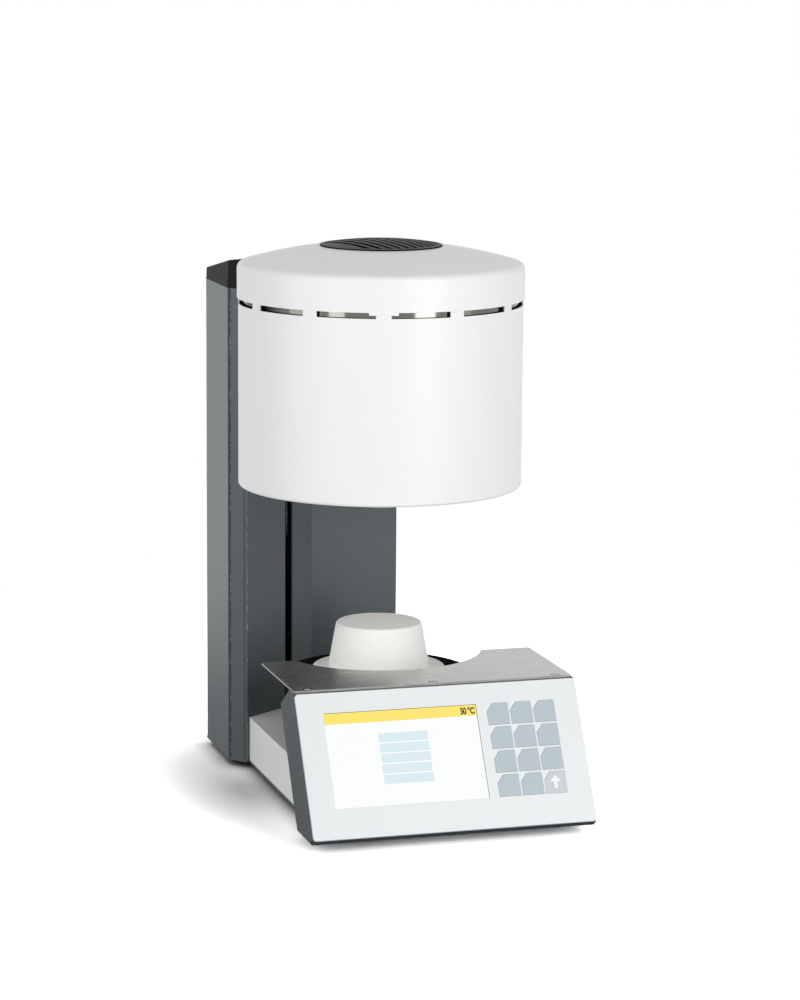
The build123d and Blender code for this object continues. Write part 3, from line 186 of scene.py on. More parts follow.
# %% Brushed steel: streaks along X
def build_brushed():
    """Streaks that run along X: Height for the bump, Streak around 0 for the roughness."""
    group, inside, outside = open_group(
        "Brushed Streaks", {"Streaks per Metre": 1500.0, "Length": 40.0}, ("Height", "Streak")
    )
    place = put(group, "ShaderNodeTexCoord")
    parts = put(group, "ShaderNodeSeparateXYZ", {0: (place, "Object")})
    squeezed = math_node(group, "DIVIDE", (parts, "X"), (inside, "Length"))
    stretched = put(group, "ShaderNodeCombineXYZ",
                    {"X": (squeezed, 0), "Y": (parts, "Y"), "Z": (parts, "Z")})
    streaks = put(group, "ShaderNodeTexNoise",
                  {"Vector": (stretched, 0), "Scale": (inside, "Streaks per Metre"),
                   "Detail": 4.0, "Roughness": 0.7})
    centred = math_node(group, "SUBTRACT", (streaks, 0), 0.5)
    return close_group(group, outside, Height=streaks, Streak=centred)


brushed = build_brushed()

# %% Pressed ceramic fibre: mottles and pits
PIT_START, PIT_FULL, PIT_SHADE = 0.32, 0.5, -0.05
WAVES_PER_METRE = 45.0


def build_fibre():
    """The look of vacuum-formed fibre: soft mottles in Tint around 1 and fine pits in Height."""
    group, inside, outside = open_group(
        "Pressed Fibre", {"Pits per Metre": 420.0, "Mottle": 0.08}, ("Height", "Tint")
    )
    place = put(group, "ShaderNodeTexCoord")
    pits = put(group, "ShaderNodeTexNoise",
               {"Vector": (place, "Object"), "Scale": (inside, "Pits per Metre"), "Detail": 6.0,
                "Roughness": 0.65, "Distortion": 0.4})
    deep = remap(group, (pits, 0), PIT_START, PIT_FULL)
    waves = put(group, "ShaderNodeTexNoise",
                {"Vector": (place, "Object"), "Scale": WAVES_PER_METRE, "Detail": 3.0})
    height = math_node(group, "ADD", (deep, 0), (waves, 0))
    centred = math_node(group, "SUBTRACT", (waves, 0), 0.5)
    mottle = math_node(group, "MULTIPLY", (centred, 0), (inside, "Mottle"))
    shade = remap(group, (deep, 0), 0.0, 1.0, PIT_SHADE, 0.0)
    both = math_node(group, "ADD", (mottle, 0), (shade, 0))
    tint = math_node(group, "ADD", (both, 0), 1.0)
    return close_group(group, outside, Height=height, Tint=tint)


fibre = build_fibre()

# %% [markdown]
# ## Materials
# Every material starts from the same three parts: a Principled shader, a base colour that the
# groups may tint, and a bump from the groups' heights. The helpers below wire them. A finish then
# is one call with its colour, its roughness and the strength of each effect, so two finishes can
# be compared by reading two lines.

# %% The helpers that make a finish
LEAST_ROUGHNESS = 0.04


def new_material(name):
    """An empty material with a Principled shader wired to its output; returns both."""
    material = bpy.data.materials.new(name)
    material.use_nodes = True
    tree = material.node_tree
    tree.nodes.clear()
    shader = put(tree, "ShaderNodeBsdfPrincipled")
    put(tree, "ShaderNodeOutputMaterial", {"Surface": (shader, "BSDF")})
    return material, shader


def tinted(tree, color, tint):
    """A colour multiplied by a value that lies around 1."""
    solid = put(tree, "ShaderNodeCombineColor", {0: tint, 1: tint, 2: tint})
    return put(tree, "ShaderNodeMix", {6: (*color, 1.0), 7: (solid, 0), 0: 1.0},
               data_type="RGBA", blend_type="MULTIPLY")


def finish(name, color, roughness, group=None, sliders=None, bump=0.0, reach=0.0002,
           smudge=0.12, metallic=0.0, coat=0.0, coat_roughness=0.1, specular=0.5):
    """A surface with smudges, and one texture group for tint and a bump that is reach deep."""
    material, shader = new_material(name)
    tree = material.node_tree
    shader.inputs["Base Color"].default_value = (*color, 1.0)
    shader.inputs["Metallic"].default_value = metallic
    shader.inputs["Specular IOR Level"].default_value = specular
    shader.inputs["Coat Weight"].default_value = coat
    shader.inputs["Coat Roughness"].default_value = coat_roughness
    marks = put(tree, "ShaderNodeGroup", {"Amount": smudge}, node_tree=handling)
    spread = math_node(tree, "ADD", (marks, "Smudge"), roughness)
    if group is not None:
        texture = put(tree, "ShaderNodeGroup", sliders, node_tree=group)
        if "Tint" in texture.outputs:
            mixed = tinted(tree, color, (texture, "Tint"))
            tree.links.new(mixed.outputs[2], shader.inputs["Base Color"])
        else:
            spread = math_node(tree, "ADD", (spread, 0), (texture, "Streak"))
        relief = put(tree, "ShaderNodeBump",
                     {"Height": (texture, "Height"), "Strength": bump, "Distance": reach})
        tree.links.new(relief.outputs["Normal"], shader.inputs["Normal"])
    held = math_node(tree, "MAXIMUM", (spread, 0), LEAST_ROUGHNESS)
    tree.links.new(held.outputs[0], shader.inputs["Roughness"])
    return material


def coated(name, color, roughness, grains, speckle, **settings):
    """A painted or moulded surface with so many grains per metre and light specks in it."""
    sliders = {"Grains per Metre": grains, "Speckle": speckle}
    return finish(name, color, roughness, coat_grain, sliders, **settings)


def brushed_metal(name, color, roughness, streaks, length, **settings):
    """A bare metal with so many streaks per metre, each stretched length times."""
    sliders = {"Streaks per Metre": streaks, "Length": length}
    return finish(name, color, roughness, brushed, sliders, bump=0.1, reach=0.00005,
                  metallic=1.0, **settings)


def pressed_fibre(name, color, pits, mottle, **settings):
    """A chalky ceramic fibre with so many pits per metre and soft mottles."""
    sliders = {"Pits per Metre": pits, "Mottle": mottle}
    return finish(name, color, roughness=0.85, group=fibre, sliders=sliders, smudge=0.02,
                  **settings)


# %% [markdown]
# ### Painted and coated sheet metal
# The hood and lid have a smooth satin white, so their grain is shallow and their highlight wide.
# The column has a textured slate powder coat. The housing is a similar grey, a little smoother,
# and the base a light grey of the same kind. Four more coats are for narrow places only: painted
# shade and painted glints on bends and edges, and a darker grey without gloss for the housing's
# lower lip, which is painted shade.

# %% Paints: colour, roughness, grains per metre and speckle
hood_white = coated("Hood_White", (0.87, 0.875, 0.875), 0.42, 420.0, 0.006,
                    bump=0.05, smudge=0.05, coat=0.15, coat_roughness=0.30)
column_slate = coated("Column_Slate", (0.068, 0.083, 0.090), 0.34, 1300.0, 0.45,
                      bump=0.42, smudge=0.06)
housing_grey = coated("Housing_Grey", (0.070, 0.080, 0.086), 0.44, 1300.0, 0.25,
                      bump=0.30, smudge=0.06, specular=0.2)
# Painted shade and painted glints for bends and edges: a dark coat, a coat with bright specks, and
# a lighter coat.
bend_shade = coated("Bend_Shade", (0.030, 0.038, 0.042), 0.5, 1300.0, 0.3, bump=0.3, specular=0.2)
edge_glint = coated("Edge_Glint", (0.045, 0.057, 0.065), 0.5, 150.0, 7.0, bump=0.3, specular=0.2)
bend_highlight = coated("Bend_Highlight", (0.090, 0.108, 0.116), 0.5, 150.0, 2.4,
                     bump=0.3, specular=0.2)
# Painted shade: a darker copy of the housing's grey, without gloss.
lip_shade = coated("Lip_Shade", (0.055, 0.068, 0.075), 0.7, 1300.0, 0.25, bump=0.3, specular=0.0)
base_grey = coated("Base_Grey", (0.84, 0.84, 0.825), 0.45, 900.0, 0.03, bump=0.15, smudge=0.06)
table_black = coated("Table_Black", (0.011, 0.012, 0.013), 0.62, 900.0, 0.15,
                     bump=0.2, specular=0.0)

# %% [markdown]
# ### Plastics, rubber and foil
# The cap and the grille are moulded in black with a fine spark-eroded grain. The mains inlet, the
# switch and the fan share the cap's plastic. Rubber is the same idea with a rougher surface. The
# panel and its keys are covered with a printed foil, which is almost smooth.

# %% Plastics and foils
black_plastic = coated("Black_Plastic", (0.011, 0.012, 0.013), 0.52, 1600.0, 0.25,
                       bump=0.25, smudge=0.1, specular=0.07)
grille_plastic = coated("Grille_Plastic", (0.011, 0.011, 0.011), 0.46, 1500.0, 0.25,
                        bump=0.25, smudge=0.1, specular=0.13)
deep_black = finish("Deep_Black", (0.002, 0.002, 0.002), 0.9, specular=0.0)
feet_rubber = coated("Feet_Rubber", (0.018, 0.018, 0.018), 0.75, 1100.0, 0.3, bump=0.3)
panel_foil = coated("Panel_Foil", (0.80, 0.835, 0.845), 0.34, 1900.0, 0.004,
                    bump=0.03, smudge=0.05)
key_foil = coated("Key_Foil", (0.45, 0.53, 0.57), 0.36, 1900.0, 0.01, bump=0.03, smudge=0.05)
key_foil_pale = coated("Key_Foil_Pale", (0.56, 0.615, 0.64), 0.36, 1900.0, 0.01,
                       bump=0.03, smudge=0.05)
arrow_white = finish("Arrow_White", (0.90, 0.91, 0.91), 0.35)

# %% [markdown]
# ### Bare metals
# The cover plate is satin stainless, brushed along its length. The cylinder inside the hood is
# polished sheet, which shows as bright and dark bands through the vents. The lift's parts are
# ground or milled.

# %% Metals
SHEET_COLOR = (0.165, 0.16, 0.145)
stainless = brushed_metal("Plate_Stainless", (0.43, 0.425, 0.41), 0.30, 1700.0, 45.0, smudge=0.10)
polished_sheet = finish("Polished_Sheet", SHEET_COLOR, 0.10, smudge=0.04, metallic=1.0)
screw_steel = finish("Screw_Steel", (0.72, 0.72, 0.71), 0.40, metallic=0.5)
ground_steel = brushed_metal("Ground_Steel", (0.42, 0.425, 0.43), 0.28, 1200.0, 12.0)
milled_aluminium = brushed_metal("Milled_Aluminium", (0.62, 0.63, 0.64), 0.34, 900.0, 8.0)

# %% Painted shade: the polished sheet is painted dark at its sides
SHEET_BRIGHT, SHEET_DARK = 0.118, 0.128
SIDE_SHADE_COLOR = (0.008, 0.008, 0.008)
sheet = polished_sheet.node_tree
sheet_place = put(sheet, "ShaderNodeTexCoord")
sheet_parts = put(sheet, "ShaderNodeSeparateXYZ", {0: (sheet_place, "Object")})
from_axis = math_node(sheet, "SUBTRACT", (sheet_parts, "X"), head_axis.x)
sideways = math_node(sheet, "ABSOLUTE", (from_axis, 0))
# Painted shade: beyond SHEET_DARK from the head's axis the sheet's colour turns almost black.
painted_side_shade = put(sheet, "ShaderNodeMix",
            {0: (remap(sheet, (sideways, 0), SHEET_BRIGHT, SHEET_DARK), 0),
             6: (*SHEET_COLOR, 1.0), 7: (*SIDE_SHADE_COLOR, 1.0)},
            data_type="RGBA")
sheet.links.new(painted_side_shade.outputs[2], sheet.nodes["Principled BSDF"].inputs["Base Color"])
print("polished sheet is dark beyond", SHEET_DARK, "m from the axis")

# %% [markdown]
# ### Fibre, boards and the screen
# The plinth, the disc and the muffle are pressed ceramic fibre, dry and chalky. The screen is lit
# from behind, so its pictures give light themselves and hardly depend on the lamps.

# %% Fibre and boards
plinth_fibre = pressed_fibre("Plinth_Fibre", (0.965, 0.955, 0.93), 500.0, 0.05,
                             bump=0.28, reach=0.0004)
disc_fibre = pressed_fibre("Disc_Fibre", (0.955, 0.94, 0.905), 380.0, 0.10,
                           bump=0.35, reach=0.0005)
green_board = coated("Green_Board", (0.03, 0.16, 0.08), 0.4, 2000.0, 0.1, bump=0.1)
transformer_core = finish("Transformer_Core", (0.20, 0.20, 0.21), 0.5, brushed,
                          {"Streaks per Metre": 900.0, "Length": 20.0}, bump=0.2)

# %% Lit screen colours
SCREEN_POWER = 0.97


def lit(name, color):
    """A backlit colour: it shines as written, with only a faint gloss of the cover glass."""
    material, shader = new_material(name)
    shader.inputs["Base Color"].default_value = (0.02, 0.02, 0.02, 1.0)
    shader.inputs["Roughness"].default_value = 0.35
    shader.inputs["Specular IOR Level"].default_value = 0.1
    shader.inputs["Emission Color"].default_value = (*color, 1.0)
    shader.inputs["Emission Strength"].default_value = SCREEN_POWER
    return material


def srgb(*levels):
    """An 8-bit picture colour as linear light."""
    shares = [level / 255 for level in levels]
    return tuple(
        share / 12.92 if share <= 0.04045 else ((share + 0.055) / 1.055) ** 2.4
        for share in shares
    )


screen_white = lit("Screen_White", srgb(251, 253, 253))
screen_yellow = lit("Screen_Yellow", srgb(253, 231, 110))
screen_bar = lit("Screen_Bar", srgb(218, 236, 242))
screen_ink = lit("Screen_Ink", srgb(62, 54, 22))
# Painted shade for the window's four walls.
screen_wall_shade = finish("Screen_Wall_Shade", (0.10, 0.12, 0.13), 0.6, specular=0.1)
print("materials:", len(bpy.data.materials))

# %% [markdown]
# ## Dressing the CAD nodes
# A CAD node keeps its shape and only gets a material. The import brings the exact normals of
# the solids' curved faces, so round pieces shade smoothly without any smoothing of their own.

# %% Which node has which finish
FINISHES = {
    hood_white: "hood_shell hood_lid",
    column_slate: "column_shell column_rear_cover base_plate",
    housing_grey: "control_housing",
    base_grey: "base_pan",
    table_black: "table_drum table_plate",
    black_plastic: "column_cap fan_frame fan_rotor mains_inlet switch_frame rocker lift_motor",
    grille_plastic: "top_grille",
    feet_rubber: "rubber_feet",
    panel_foil: "front_panel",
    stainless: "cover_plate",
    screw_steel: "plate_screws head_base_ring",
    polished_sheet: "muffle_casing heat_shield",
    ground_steel: "rear_cover_screws head_screws lift_spine guide_rail motor_bracket motor_shaft "
                  "lead_screw screw_nut lift_arm",
    milled_aluminium: "screw_bearings carriage shaft_coupling",
    plinth_fibre: "firing_plinth mouth_ring heating_muffle insulation_block thermocouple",
    disc_fibre: "fibre_disc",
    green_board: "control_board keypad_board",
    transformer_core: "transformer",
    screen_white: "display_module",
    key_foil: " ".join(f"key_{number}" for number in range(1, 12)),
    key_foil_pale: "key_12",
}
finish_of = {node: material for material, names in FINISHES.items() for node in names.split()}
print("nodes without a finish:", sorted(set(nodes) - set(finish_of)))

# %% Give each node its finish
for node, material in finish_of.items():
    nodes[node].data.materials.clear()
    nodes[node].data.materials.append(material)

# %% [markdown]
# ## How a new piece is made
# Every piece below is drawn corner by corner. Four small helpers do what repeats: turn a drawn
# shape into an object with a material, make a flat face look outward, draw a circle of corners,
# and join two such loops of corners with quads.


# %% Helpers for new pieces
def add_piece(name, shape, material):
    """Turn a drawn shape into an object of this name with one material."""
    mesh = bpy.data.meshes.new(name)
    shape.to_mesh(mesh)
    shape.free()
    mesh.materials.append(material)
    piece = bpy.data.objects.new(name, mesh)
    bpy.context.scene.collection.objects.link(piece)
    return piece


def look_outward(shape, outward):
    """Turn all faces of a sheet to one side, the side that outward points to."""
    bmesh.ops.recalc_face_normals(shape, faces=shape.faces)
    if shape.faces[:][0].normal.dot(outward) < 0:
        bmesh.ops.reverse_faces(shape, faces=shape.faces)


def circle(shape, middle, radius, height, steps):
    """New corners on a level circle round a middle, counter-clockwise from +X."""
    turns = [math.tau * step / steps for step in range(steps)]
    return [
        shape.verts.new((
            middle[0] + radius * math.cos(turn), middle[1] + radius * math.sin(turn), height,
        ))
        for turn in turns
    ]


def join_loops(shape, first, second):
    """Quads all the way round between two loops of the same number of corners."""
    for here in range(len(first)):
        after = (here + 1) % len(first)
        shape.faces.new((first[here], second[here], second[after], first[after]))


# %% [markdown]
# ## The screen's picture
# A display shows a bright page with a yellow bar across its top, the oven temperature at the right
# end of that bar, and a menu of five pale bars. It could be one painted texture, but flat plates
# with lit materials stay sharp at every distance. They lie a hair in front of the glass. A dark
# sheet of painted shade covers the four narrow walls of the window.

# %% Measures of the picture, in metres on the panel's face
PICTURE_LEFT, PICTURE_RIGHT = -0.1155, 0.0366
PICTURE_LOW, PICTURE_HIGH = -0.0424, 0.0513
HEADER_HEIGHT = 0.0108
GLASS_DEPTH = 0.0016
LAYER = 0.00008
MENU_LEFT, MENU_RIGHT = -0.0642, -0.0150
MENU_TOP, MENU_LOW = 0.0289, -0.0212
MENU_BARS = 5
MENU_GAP = 0.0013


def panel_plate(name, outline, lift, material):
    """A flat plate on the panel from a list of (x, y) corners, lift in front of its face."""
    shape = bmesh.new()
    shape.faces.new([shape.verts.new(on_panel(x, y, lift)) for x, y in outline])
    look_outward(shape, panel_out)
    return add_piece(name, shape, material)


def rectangle(left, low, right, high):
    """Corners of an upright rectangle, counter-clockwise."""
    return [(left, low), (right, low), (right, high), (left, high)]


# %% Build the page, the header and the menu
picture = rectangle(PICTURE_LEFT, PICTURE_LOW, PICTURE_RIGHT, PICTURE_HIGH)
page = panel_plate("screen_page", picture, LAYER - GLASS_DEPTH, screen_white)
header_low = PICTURE_HIGH - HEADER_HEIGHT
header_shape = rectangle(PICTURE_LEFT, header_low, PICTURE_RIGHT, PICTURE_HIGH)
header = panel_plate("screen_header", header_shape, 2 * LAYER - GLASS_DEPTH, screen_yellow)
screen_pieces = [page, header]
bar_pitch = (MENU_TOP - MENU_LOW + MENU_GAP) / MENU_BARS
for number in range(MENU_BARS):
    top = MENU_TOP - number * bar_pitch
    bar_shape = rectangle(MENU_LEFT, top - bar_pitch + MENU_GAP, MENU_RIGHT, top)
    bar = panel_plate(f"screen_bar_{number + 1}", bar_shape, 2 * LAYER - GLASS_DEPTH, screen_bar)
    screen_pieces.append(bar)

# %% Paint shade on the window's edges
WALL_SHADE_OFFSET = 0.00003
WINDOW_LEFT, WINDOW_RIGHT = -0.1157, 0.0368
WINDOW_LOW, WINDOW_HIGH = -0.0425, 0.0514
SHADED_WALLS = [  # one end of the wall, its other end, and the way into the window
    ((WINDOW_LEFT, WINDOW_HIGH), (WINDOW_RIGHT, WINDOW_HIGH), (0, -1)),
    ((WINDOW_RIGHT, WINDOW_HIGH), (WINDOW_RIGHT, WINDOW_LOW), (-1, 0)),
    ((WINDOW_RIGHT, WINDOW_LOW), (WINDOW_LEFT, WINDOW_LOW), (0, 1)),
    ((WINDOW_LEFT, WINDOW_LOW), (WINDOW_LEFT, WINDOW_HIGH), (1, 0)),
]
wall_shade_shape = bmesh.new()
for start, end, (inward_x, inward_y) in SHADED_WALLS:
    ends = [(x + inward_x * WALL_SHADE_OFFSET, y + inward_y * WALL_SHADE_OFFSET) for x, y in (start, end)]
    deep = [wall_shade_shape.verts.new(on_panel(x, y, -GLASS_DEPTH)) for x, y in ends]
    front = [wall_shade_shape.verts.new(on_panel(x, y, -LAYER)) for x, y in reversed(ends)]
    wall_shade_shape.faces.new(deep + front)
screen_pieces.append(add_piece("screen_wall_shade", wall_shade_shape, screen_wall_shade))

# %% Write the temperature
LETTER_SIZE, LETTER_WIDTH = 0.0088, 0.74
LETTER_WEIGHT, LETTER_SPACING = 0.040, 0.92
READING_MARGIN, READING_BASE = 0.0015, 0.0022


def panel_text(name, words, right, base, lift, material):
    """A line of text on the panel that ends at right and stands on base, as a mesh."""
    curve = bpy.data.curves.new(name, "FONT")
    curve.body = words
    curve.size = LETTER_SIZE
    curve.align_x = "RIGHT"
    curve.offset = LETTER_SIZE * LETTER_WEIGHT
    curve.space_character = LETTER_SPACING
    letters = bpy.data.objects.new(name, curve)
    bpy.context.scene.collection.objects.link(letters)
    turn = Matrix((Vector((1, 0, 0)), panel_up, panel_out)).transposed().to_4x4()
    narrow = Matrix.Diagonal((LETTER_WIDTH, 1.0, 1.0, 1.0))
    letters.matrix_world = Matrix.Translation(on_panel(right, base, lift)) @ turn @ narrow
    bpy.context.view_layer.update()
    mesh = bpy.data.meshes.new_from_object(letters)
    mesh.transform(letters.matrix_world)
    mesh.name = name
    mesh.materials.clear()
    mesh.materials.append(material)
    bpy.data.objects.remove(letters)
    piece = bpy.data.objects.new(name, mesh)
    bpy.context.scene.collection.objects.link(piece)
    return piece


screen_pieces.append(panel_text(
    "screen_reading", "50 °C", PICTURE_RIGHT - READING_MARGIN, header_low + READING_BASE,
    3 * LAYER - GLASS_DEPTH, screen_ink,
))
for piece in screen_pieces:
    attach(piece, "root")
print("screen pieces:", len(screen_pieces))

# %% [markdown]
# ## The arrow on the last key
# The key at the lower right carries a white arrow that points up. It is printed on the key's
# foil, so it is a thin plate that rides on the key and goes in with it.

# %% Build the arrow
ARROW_X, ARROW_Y = 0.1047, -0.0305
ARROW_HALF, ARROW_HEAD, ARROW_STEM, ARROW_TAIL = 0.0054, 0.0068, 0.0018, 0.0066
KEY_PROUD = 0.0003
arrow_shape = [
    (ARROW_X - ARROW_STEM, ARROW_Y - ARROW_TAIL),
    (ARROW_X + ARROW_STEM, ARROW_Y - ARROW_TAIL),
    (ARROW_X + ARROW_STEM, ARROW_Y),
    (ARROW_X + ARROW_HALF, ARROW_Y),
    (ARROW_X, ARROW_Y + ARROW_HEAD),
    (ARROW_X - ARROW_HALF, ARROW_Y),
    (ARROW_X - ARROW_STEM, ARROW_Y),
]
arrow = panel_plate("key_arrow", arrow_shape, KEY_PROUD + LAYER, arrow_white)
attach(arrow, "key_12")

# %% [markdown]
# ## Painted shade and glints on bends and edges
# A bend or a cut edge of the powder coat shows as a darker line, with a few bright grains in a
# row, where its curve catches the light. The walls have no bend of their own to catch that, so
# narrow ribbons of painted shade and painted glints lie on them, a twentieth of a millimetre in
# front. Their places on the column come from rays shot at the solid.

# %% A helper for ribbons
RIBBON_LIFT = 0.00005


def quad_piece(name, corners, outward, material, body="root"):
    """A flat four-cornered piece whose face looks outward; it rides on a body and fills a slot."""
    shape = bmesh.new()
    shape.faces.new([shape.verts.new(corner) for corner in corners])
    look_outward(shape, outward)
    piece = add_piece(name, shape, material)
    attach(piece, body)


# %% Ribbons on the column's two left bends
FIRST_BEND, SECOND_BEND = Vector((-0.12942, 0.12896, 0.0)), Vector((-0.11609, 0.11291, 0.0))
COLUMN_LOW, COLUMN_HIGH = 0.0085, 0.4975
RAY_START, RAY_HEIGHT = 0.03, 0.40
slant = (SECOND_BEND - FIRST_BEND).normalized()
slant_out = Vector((slant.y, -slant.x, 0.0))
rightward, front_out = Vector((1.0, 0.0, 0.0)), Vector((0.0, -1.0, 0.0))
column = nodes["column_shell"]
to_column = column.matrix_world.inverted()


def on_column(place, outward, lift):
    """The column's surface under a place seen from outside, lifted off it."""
    start = place + outward * RAY_START + Vector((0.0, 0.0, RAY_HEIGHT))
    direction = to_column.to_3x3() @ -outward
    hit, point, _, _ = column.ray_cast(to_column @ start, direction)
    point = column.matrix_world @ point if hit else place
    return Vector((point.x, point.y, 0.0)) + outward * lift


# Each ribbon is a strip of painted shade or a painted glint along a bend.
COLUMN_RIBBONS = {  # the bend, the way along its wall, outward, near and far side, layer, coat
    "column_bend_shade_1": (FIRST_BEND, slant, slant_out, 0.0003, 0.0034, 1, bend_shade),
    "column_bend_glint_1": (FIRST_BEND, slant, slant_out, 0.0023, 0.0030, 2, edge_glint),
    "column_bend_shade_2": (SECOND_BEND, -slant, slant_out, 0.0003, 0.0013, 1, bend_shade),
    "column_bend_glint_2": (SECOND_BEND, rightward, front_out, 0.0005, 0.0016, 1, bend_highlight),
}
for name, (bend, along, outward, near, far, layer, material) in COLUMN_RIBBONS.items():
    sides = [on_column(bend + along * side, outward, layer * RIBBON_LIFT) for side in (near, far)]
    rise = [Vector((0.0, 0.0, height)) for height in (COLUMN_LOW, COLUMN_HIGH)]
    corners = [sides[0] + rise[0], sides[1] + rise[0], sides[1] + rise[1], sides[0] + rise[1]]
    quad_piece(name, corners, outward, material)
    print(name, [rounded(side[:2], 5) for side in sides])

# %% Ribbons of painted glint along the housing's front edges
RIBBON_NEAR, RIBBON_FAR, RIBBON_END = 0.0031, 0.0047, 0.0012
housing_low, housing_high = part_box("control_housing")
half_length = PANEL_LENGTH / 2 - RIBBON_END
for side, wall_x, outward in (
    ("left", housing_low.x - RIBBON_LIFT, -rightward),
    ("right", housing_high.x + RIBBON_LIFT, rightward),
):
    corners = []
    for along, depth in ((-1, RIBBON_NEAR), (1, RIBBON_NEAR), (1, RIBBON_FAR), (-1, RIBBON_FAR)):
        point = on_panel(0.0, along * half_length, -depth)
        corners.append((wall_x, point.y, point.z))
    quad_piece(f"housing_edge_glint_{side}", corners, outward, edge_glint)

# %% [markdown]
# ## The housing's lower lip
# Below the panel a folded lip of the housing shows as a crisp dark line above the floor's shadow.
# Its coat is a darker grey without gloss, so the line is partly painted shade.
# It is one long prism, drawn as a four-cornered section and stretched from side to side. It lies
# on the housing's toe and ends just behind the panel's lower edge.

# %% Build the lip from its section in y and z
LIP_SECTION = [(-0.2286, 0.0152), (-0.2222, 0.0103), (-0.2134, 0.01045), (-0.2269, 0.01735)]
LIP_MARGIN = 0.0003
lip_form = bmesh.new()
left_end, right_end = (
    [lip_form.verts.new((x, y, z)) for y, z in LIP_SECTION]
    for x in (housing_low.x + LIP_MARGIN, housing_high.x - LIP_MARGIN)
)
lip_form.faces.new(left_end)
lip_form.faces.new(right_end[::-1])
join_loops(lip_form, left_end, right_end)
bmesh.ops.recalc_face_normals(lip_form, faces=lip_form.faces)
lip = add_piece("housing_lip", lip_form, lip_shade)
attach(lip, "root")
print("lip:", len(lip.data.polygons), "faces")

# %% [markdown]
# ## The cover plate's screws
# Three countersunk screws hold the plate along its front edge. Flush heads of the same steel
# would vanish, but on the real plate a fine dark joint shows round each head, with a dark socket
# in its middle. Both are one thin flat piece that lies on the plate and the head.

# %% Build a joint ring and a socket for each screw
JOINT_WIDTH, SOCKET_SHARE, SCREW_LAYER = 0.0008, 0.25, 0.00005
RING_STEPS, SOCKET_SIDES = 32, 6
screws_low, screws_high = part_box("plate_screws")
head_radius = (screws_high.y - screws_low.y) / 2
screw_y = (screws_low.y + screws_high.y) / 2
screw_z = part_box("cover_plate")[1].z + SCREW_LAYER
screw_xs = [
    screws_low.x + head_radius, (screws_low.x + screws_high.x) / 2, screws_high.x - head_radius,
]
for number, screw_x in enumerate(screw_xs, start=1):
    middle = (screw_x, screw_y)
    joint_shape = bmesh.new()
    inner = circle(joint_shape, middle, head_radius, screw_z, RING_STEPS)
    outer = circle(joint_shape, middle, head_radius + JOINT_WIDTH, screw_z, RING_STEPS)
    join_loops(joint_shape, inner, outer)
    socket_radius = head_radius * SOCKET_SHARE
    joint_shape.faces.new(circle(joint_shape, middle, socket_radius, screw_z, SOCKET_SIDES))
    joint = add_piece(f"screw_joint_{number}", joint_shape, deep_black)
    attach(joint, "root")
print("screws at x", rounded(screw_xs), "y", round(screw_y, 4), "radius", round(head_radius, 4))

# %% [markdown]
# ## The grille's first grooves
# The grille is a domed disc whose ribs run at a slant, with one plain part at the left. The
# solid's grooves begin a little left of the middle, and the real one has two more in the plain
# part. A groove this narrow shows only as a dark line, so it is made as a thin dark strip of
# painted shade that follows the dome. A dark band round the grille's edge is painted shade on the
# grille's side wall, where it meets the lid.

# %% The dome's measures, from the grille's box
RIB_TURN = math.radians(-71.6)
RIB_PITCH, RIB_GAP = 0.009, 0.0042
FIRST_CAD_GROOVE = -0.0236
GRILLE_CROWN, GRILLE_SEAT_HEIGHT, GRILLE_RIM = 0.005, 0.00124, 0.0048
grille_low, grille_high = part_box("top_grille")
grille_radius = (grille_high.x - grille_low.x) / 2
dome_radius = (grille_radius**2 + GRILLE_CROWN**2) / (2 * GRILLE_CROWN)
rib_along = Vector((math.cos(RIB_TURN), math.sin(RIB_TURN), 0.0))
rib_across = Vector((-math.sin(RIB_TURN), math.cos(RIB_TURN), 0.0))
print("grille radius", round(grille_radius, 4), "dome radius", round(dome_radius, 3))


def on_dome(along, across, lift):
    """The point of the grille's dome at a place along and across the ribs, lift above its face."""
    flat = rib_along * along + rib_across * across
    height = grille_high.z - dome_radius + math.sqrt(dome_radius**2 - flat.length_squared) + lift
    return Vector((head_axis.x + flat.x, head_axis.y + flat.y, height))


# %% Build the grooves
GROOVE_LIFT, GROOVE_STEPS = 0.00005, 24


def dome_groove(name, across):
    """A strip of painted shade along the ribs at a place across them, with its ends on the rim's
    circle.
    """
    reach = grille_radius - GRILLE_RIM
    shape = bmesh.new()
    rows = []
    for step in range(GROOVE_STEPS + 1):
        row = []
        for side in (-1, 1):
            edge = across + side * RIB_GAP / 2
            end = math.sqrt(reach**2 - edge**2)
            along = end * (2 * step / GROOVE_STEPS - 1)
            row.append(shape.verts.new(on_dome(along, edge, GROOVE_LIFT)))
        rows.append(row)
    for first, second in zip(rows, rows[1:]):
        shape.faces.new((first[0], second[0], second[1], first[1]))
    look_outward(shape, Vector((0.0, 0.0, 1.0)))
    piece = add_piece(name, shape, deep_black)
    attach(piece, "head")


for number in (1, 2):
    dome_groove(f"grille_groove_shade_{number}", FIRST_CAD_GROOVE - number * RIB_PITCH)

# %% Build the band of painted shade round the grille's edge
BAND_STEPS, BAND_OFFSET = 128, 0.00008
BAND_FOOT, BAND_TOP = 0.00005, 0.0001
edge_z = grille_high.z - GRILLE_CROWN
band_shape = bmesh.new()
foot, rim = (
    circle(band_shape, head_axis, grille_radius + BAND_OFFSET, height, BAND_STEPS)
    for height in (edge_z - GRILLE_SEAT_HEIGHT + BAND_FOOT, edge_z - BAND_TOP)
)
join_loops(band_shape, rim, foot)
edge_band = add_piece("grille_edge_shade", band_shape, deep_black)
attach(edge_band, "head")
print("edge band:", len(edge_band.data.polygons), "faces")

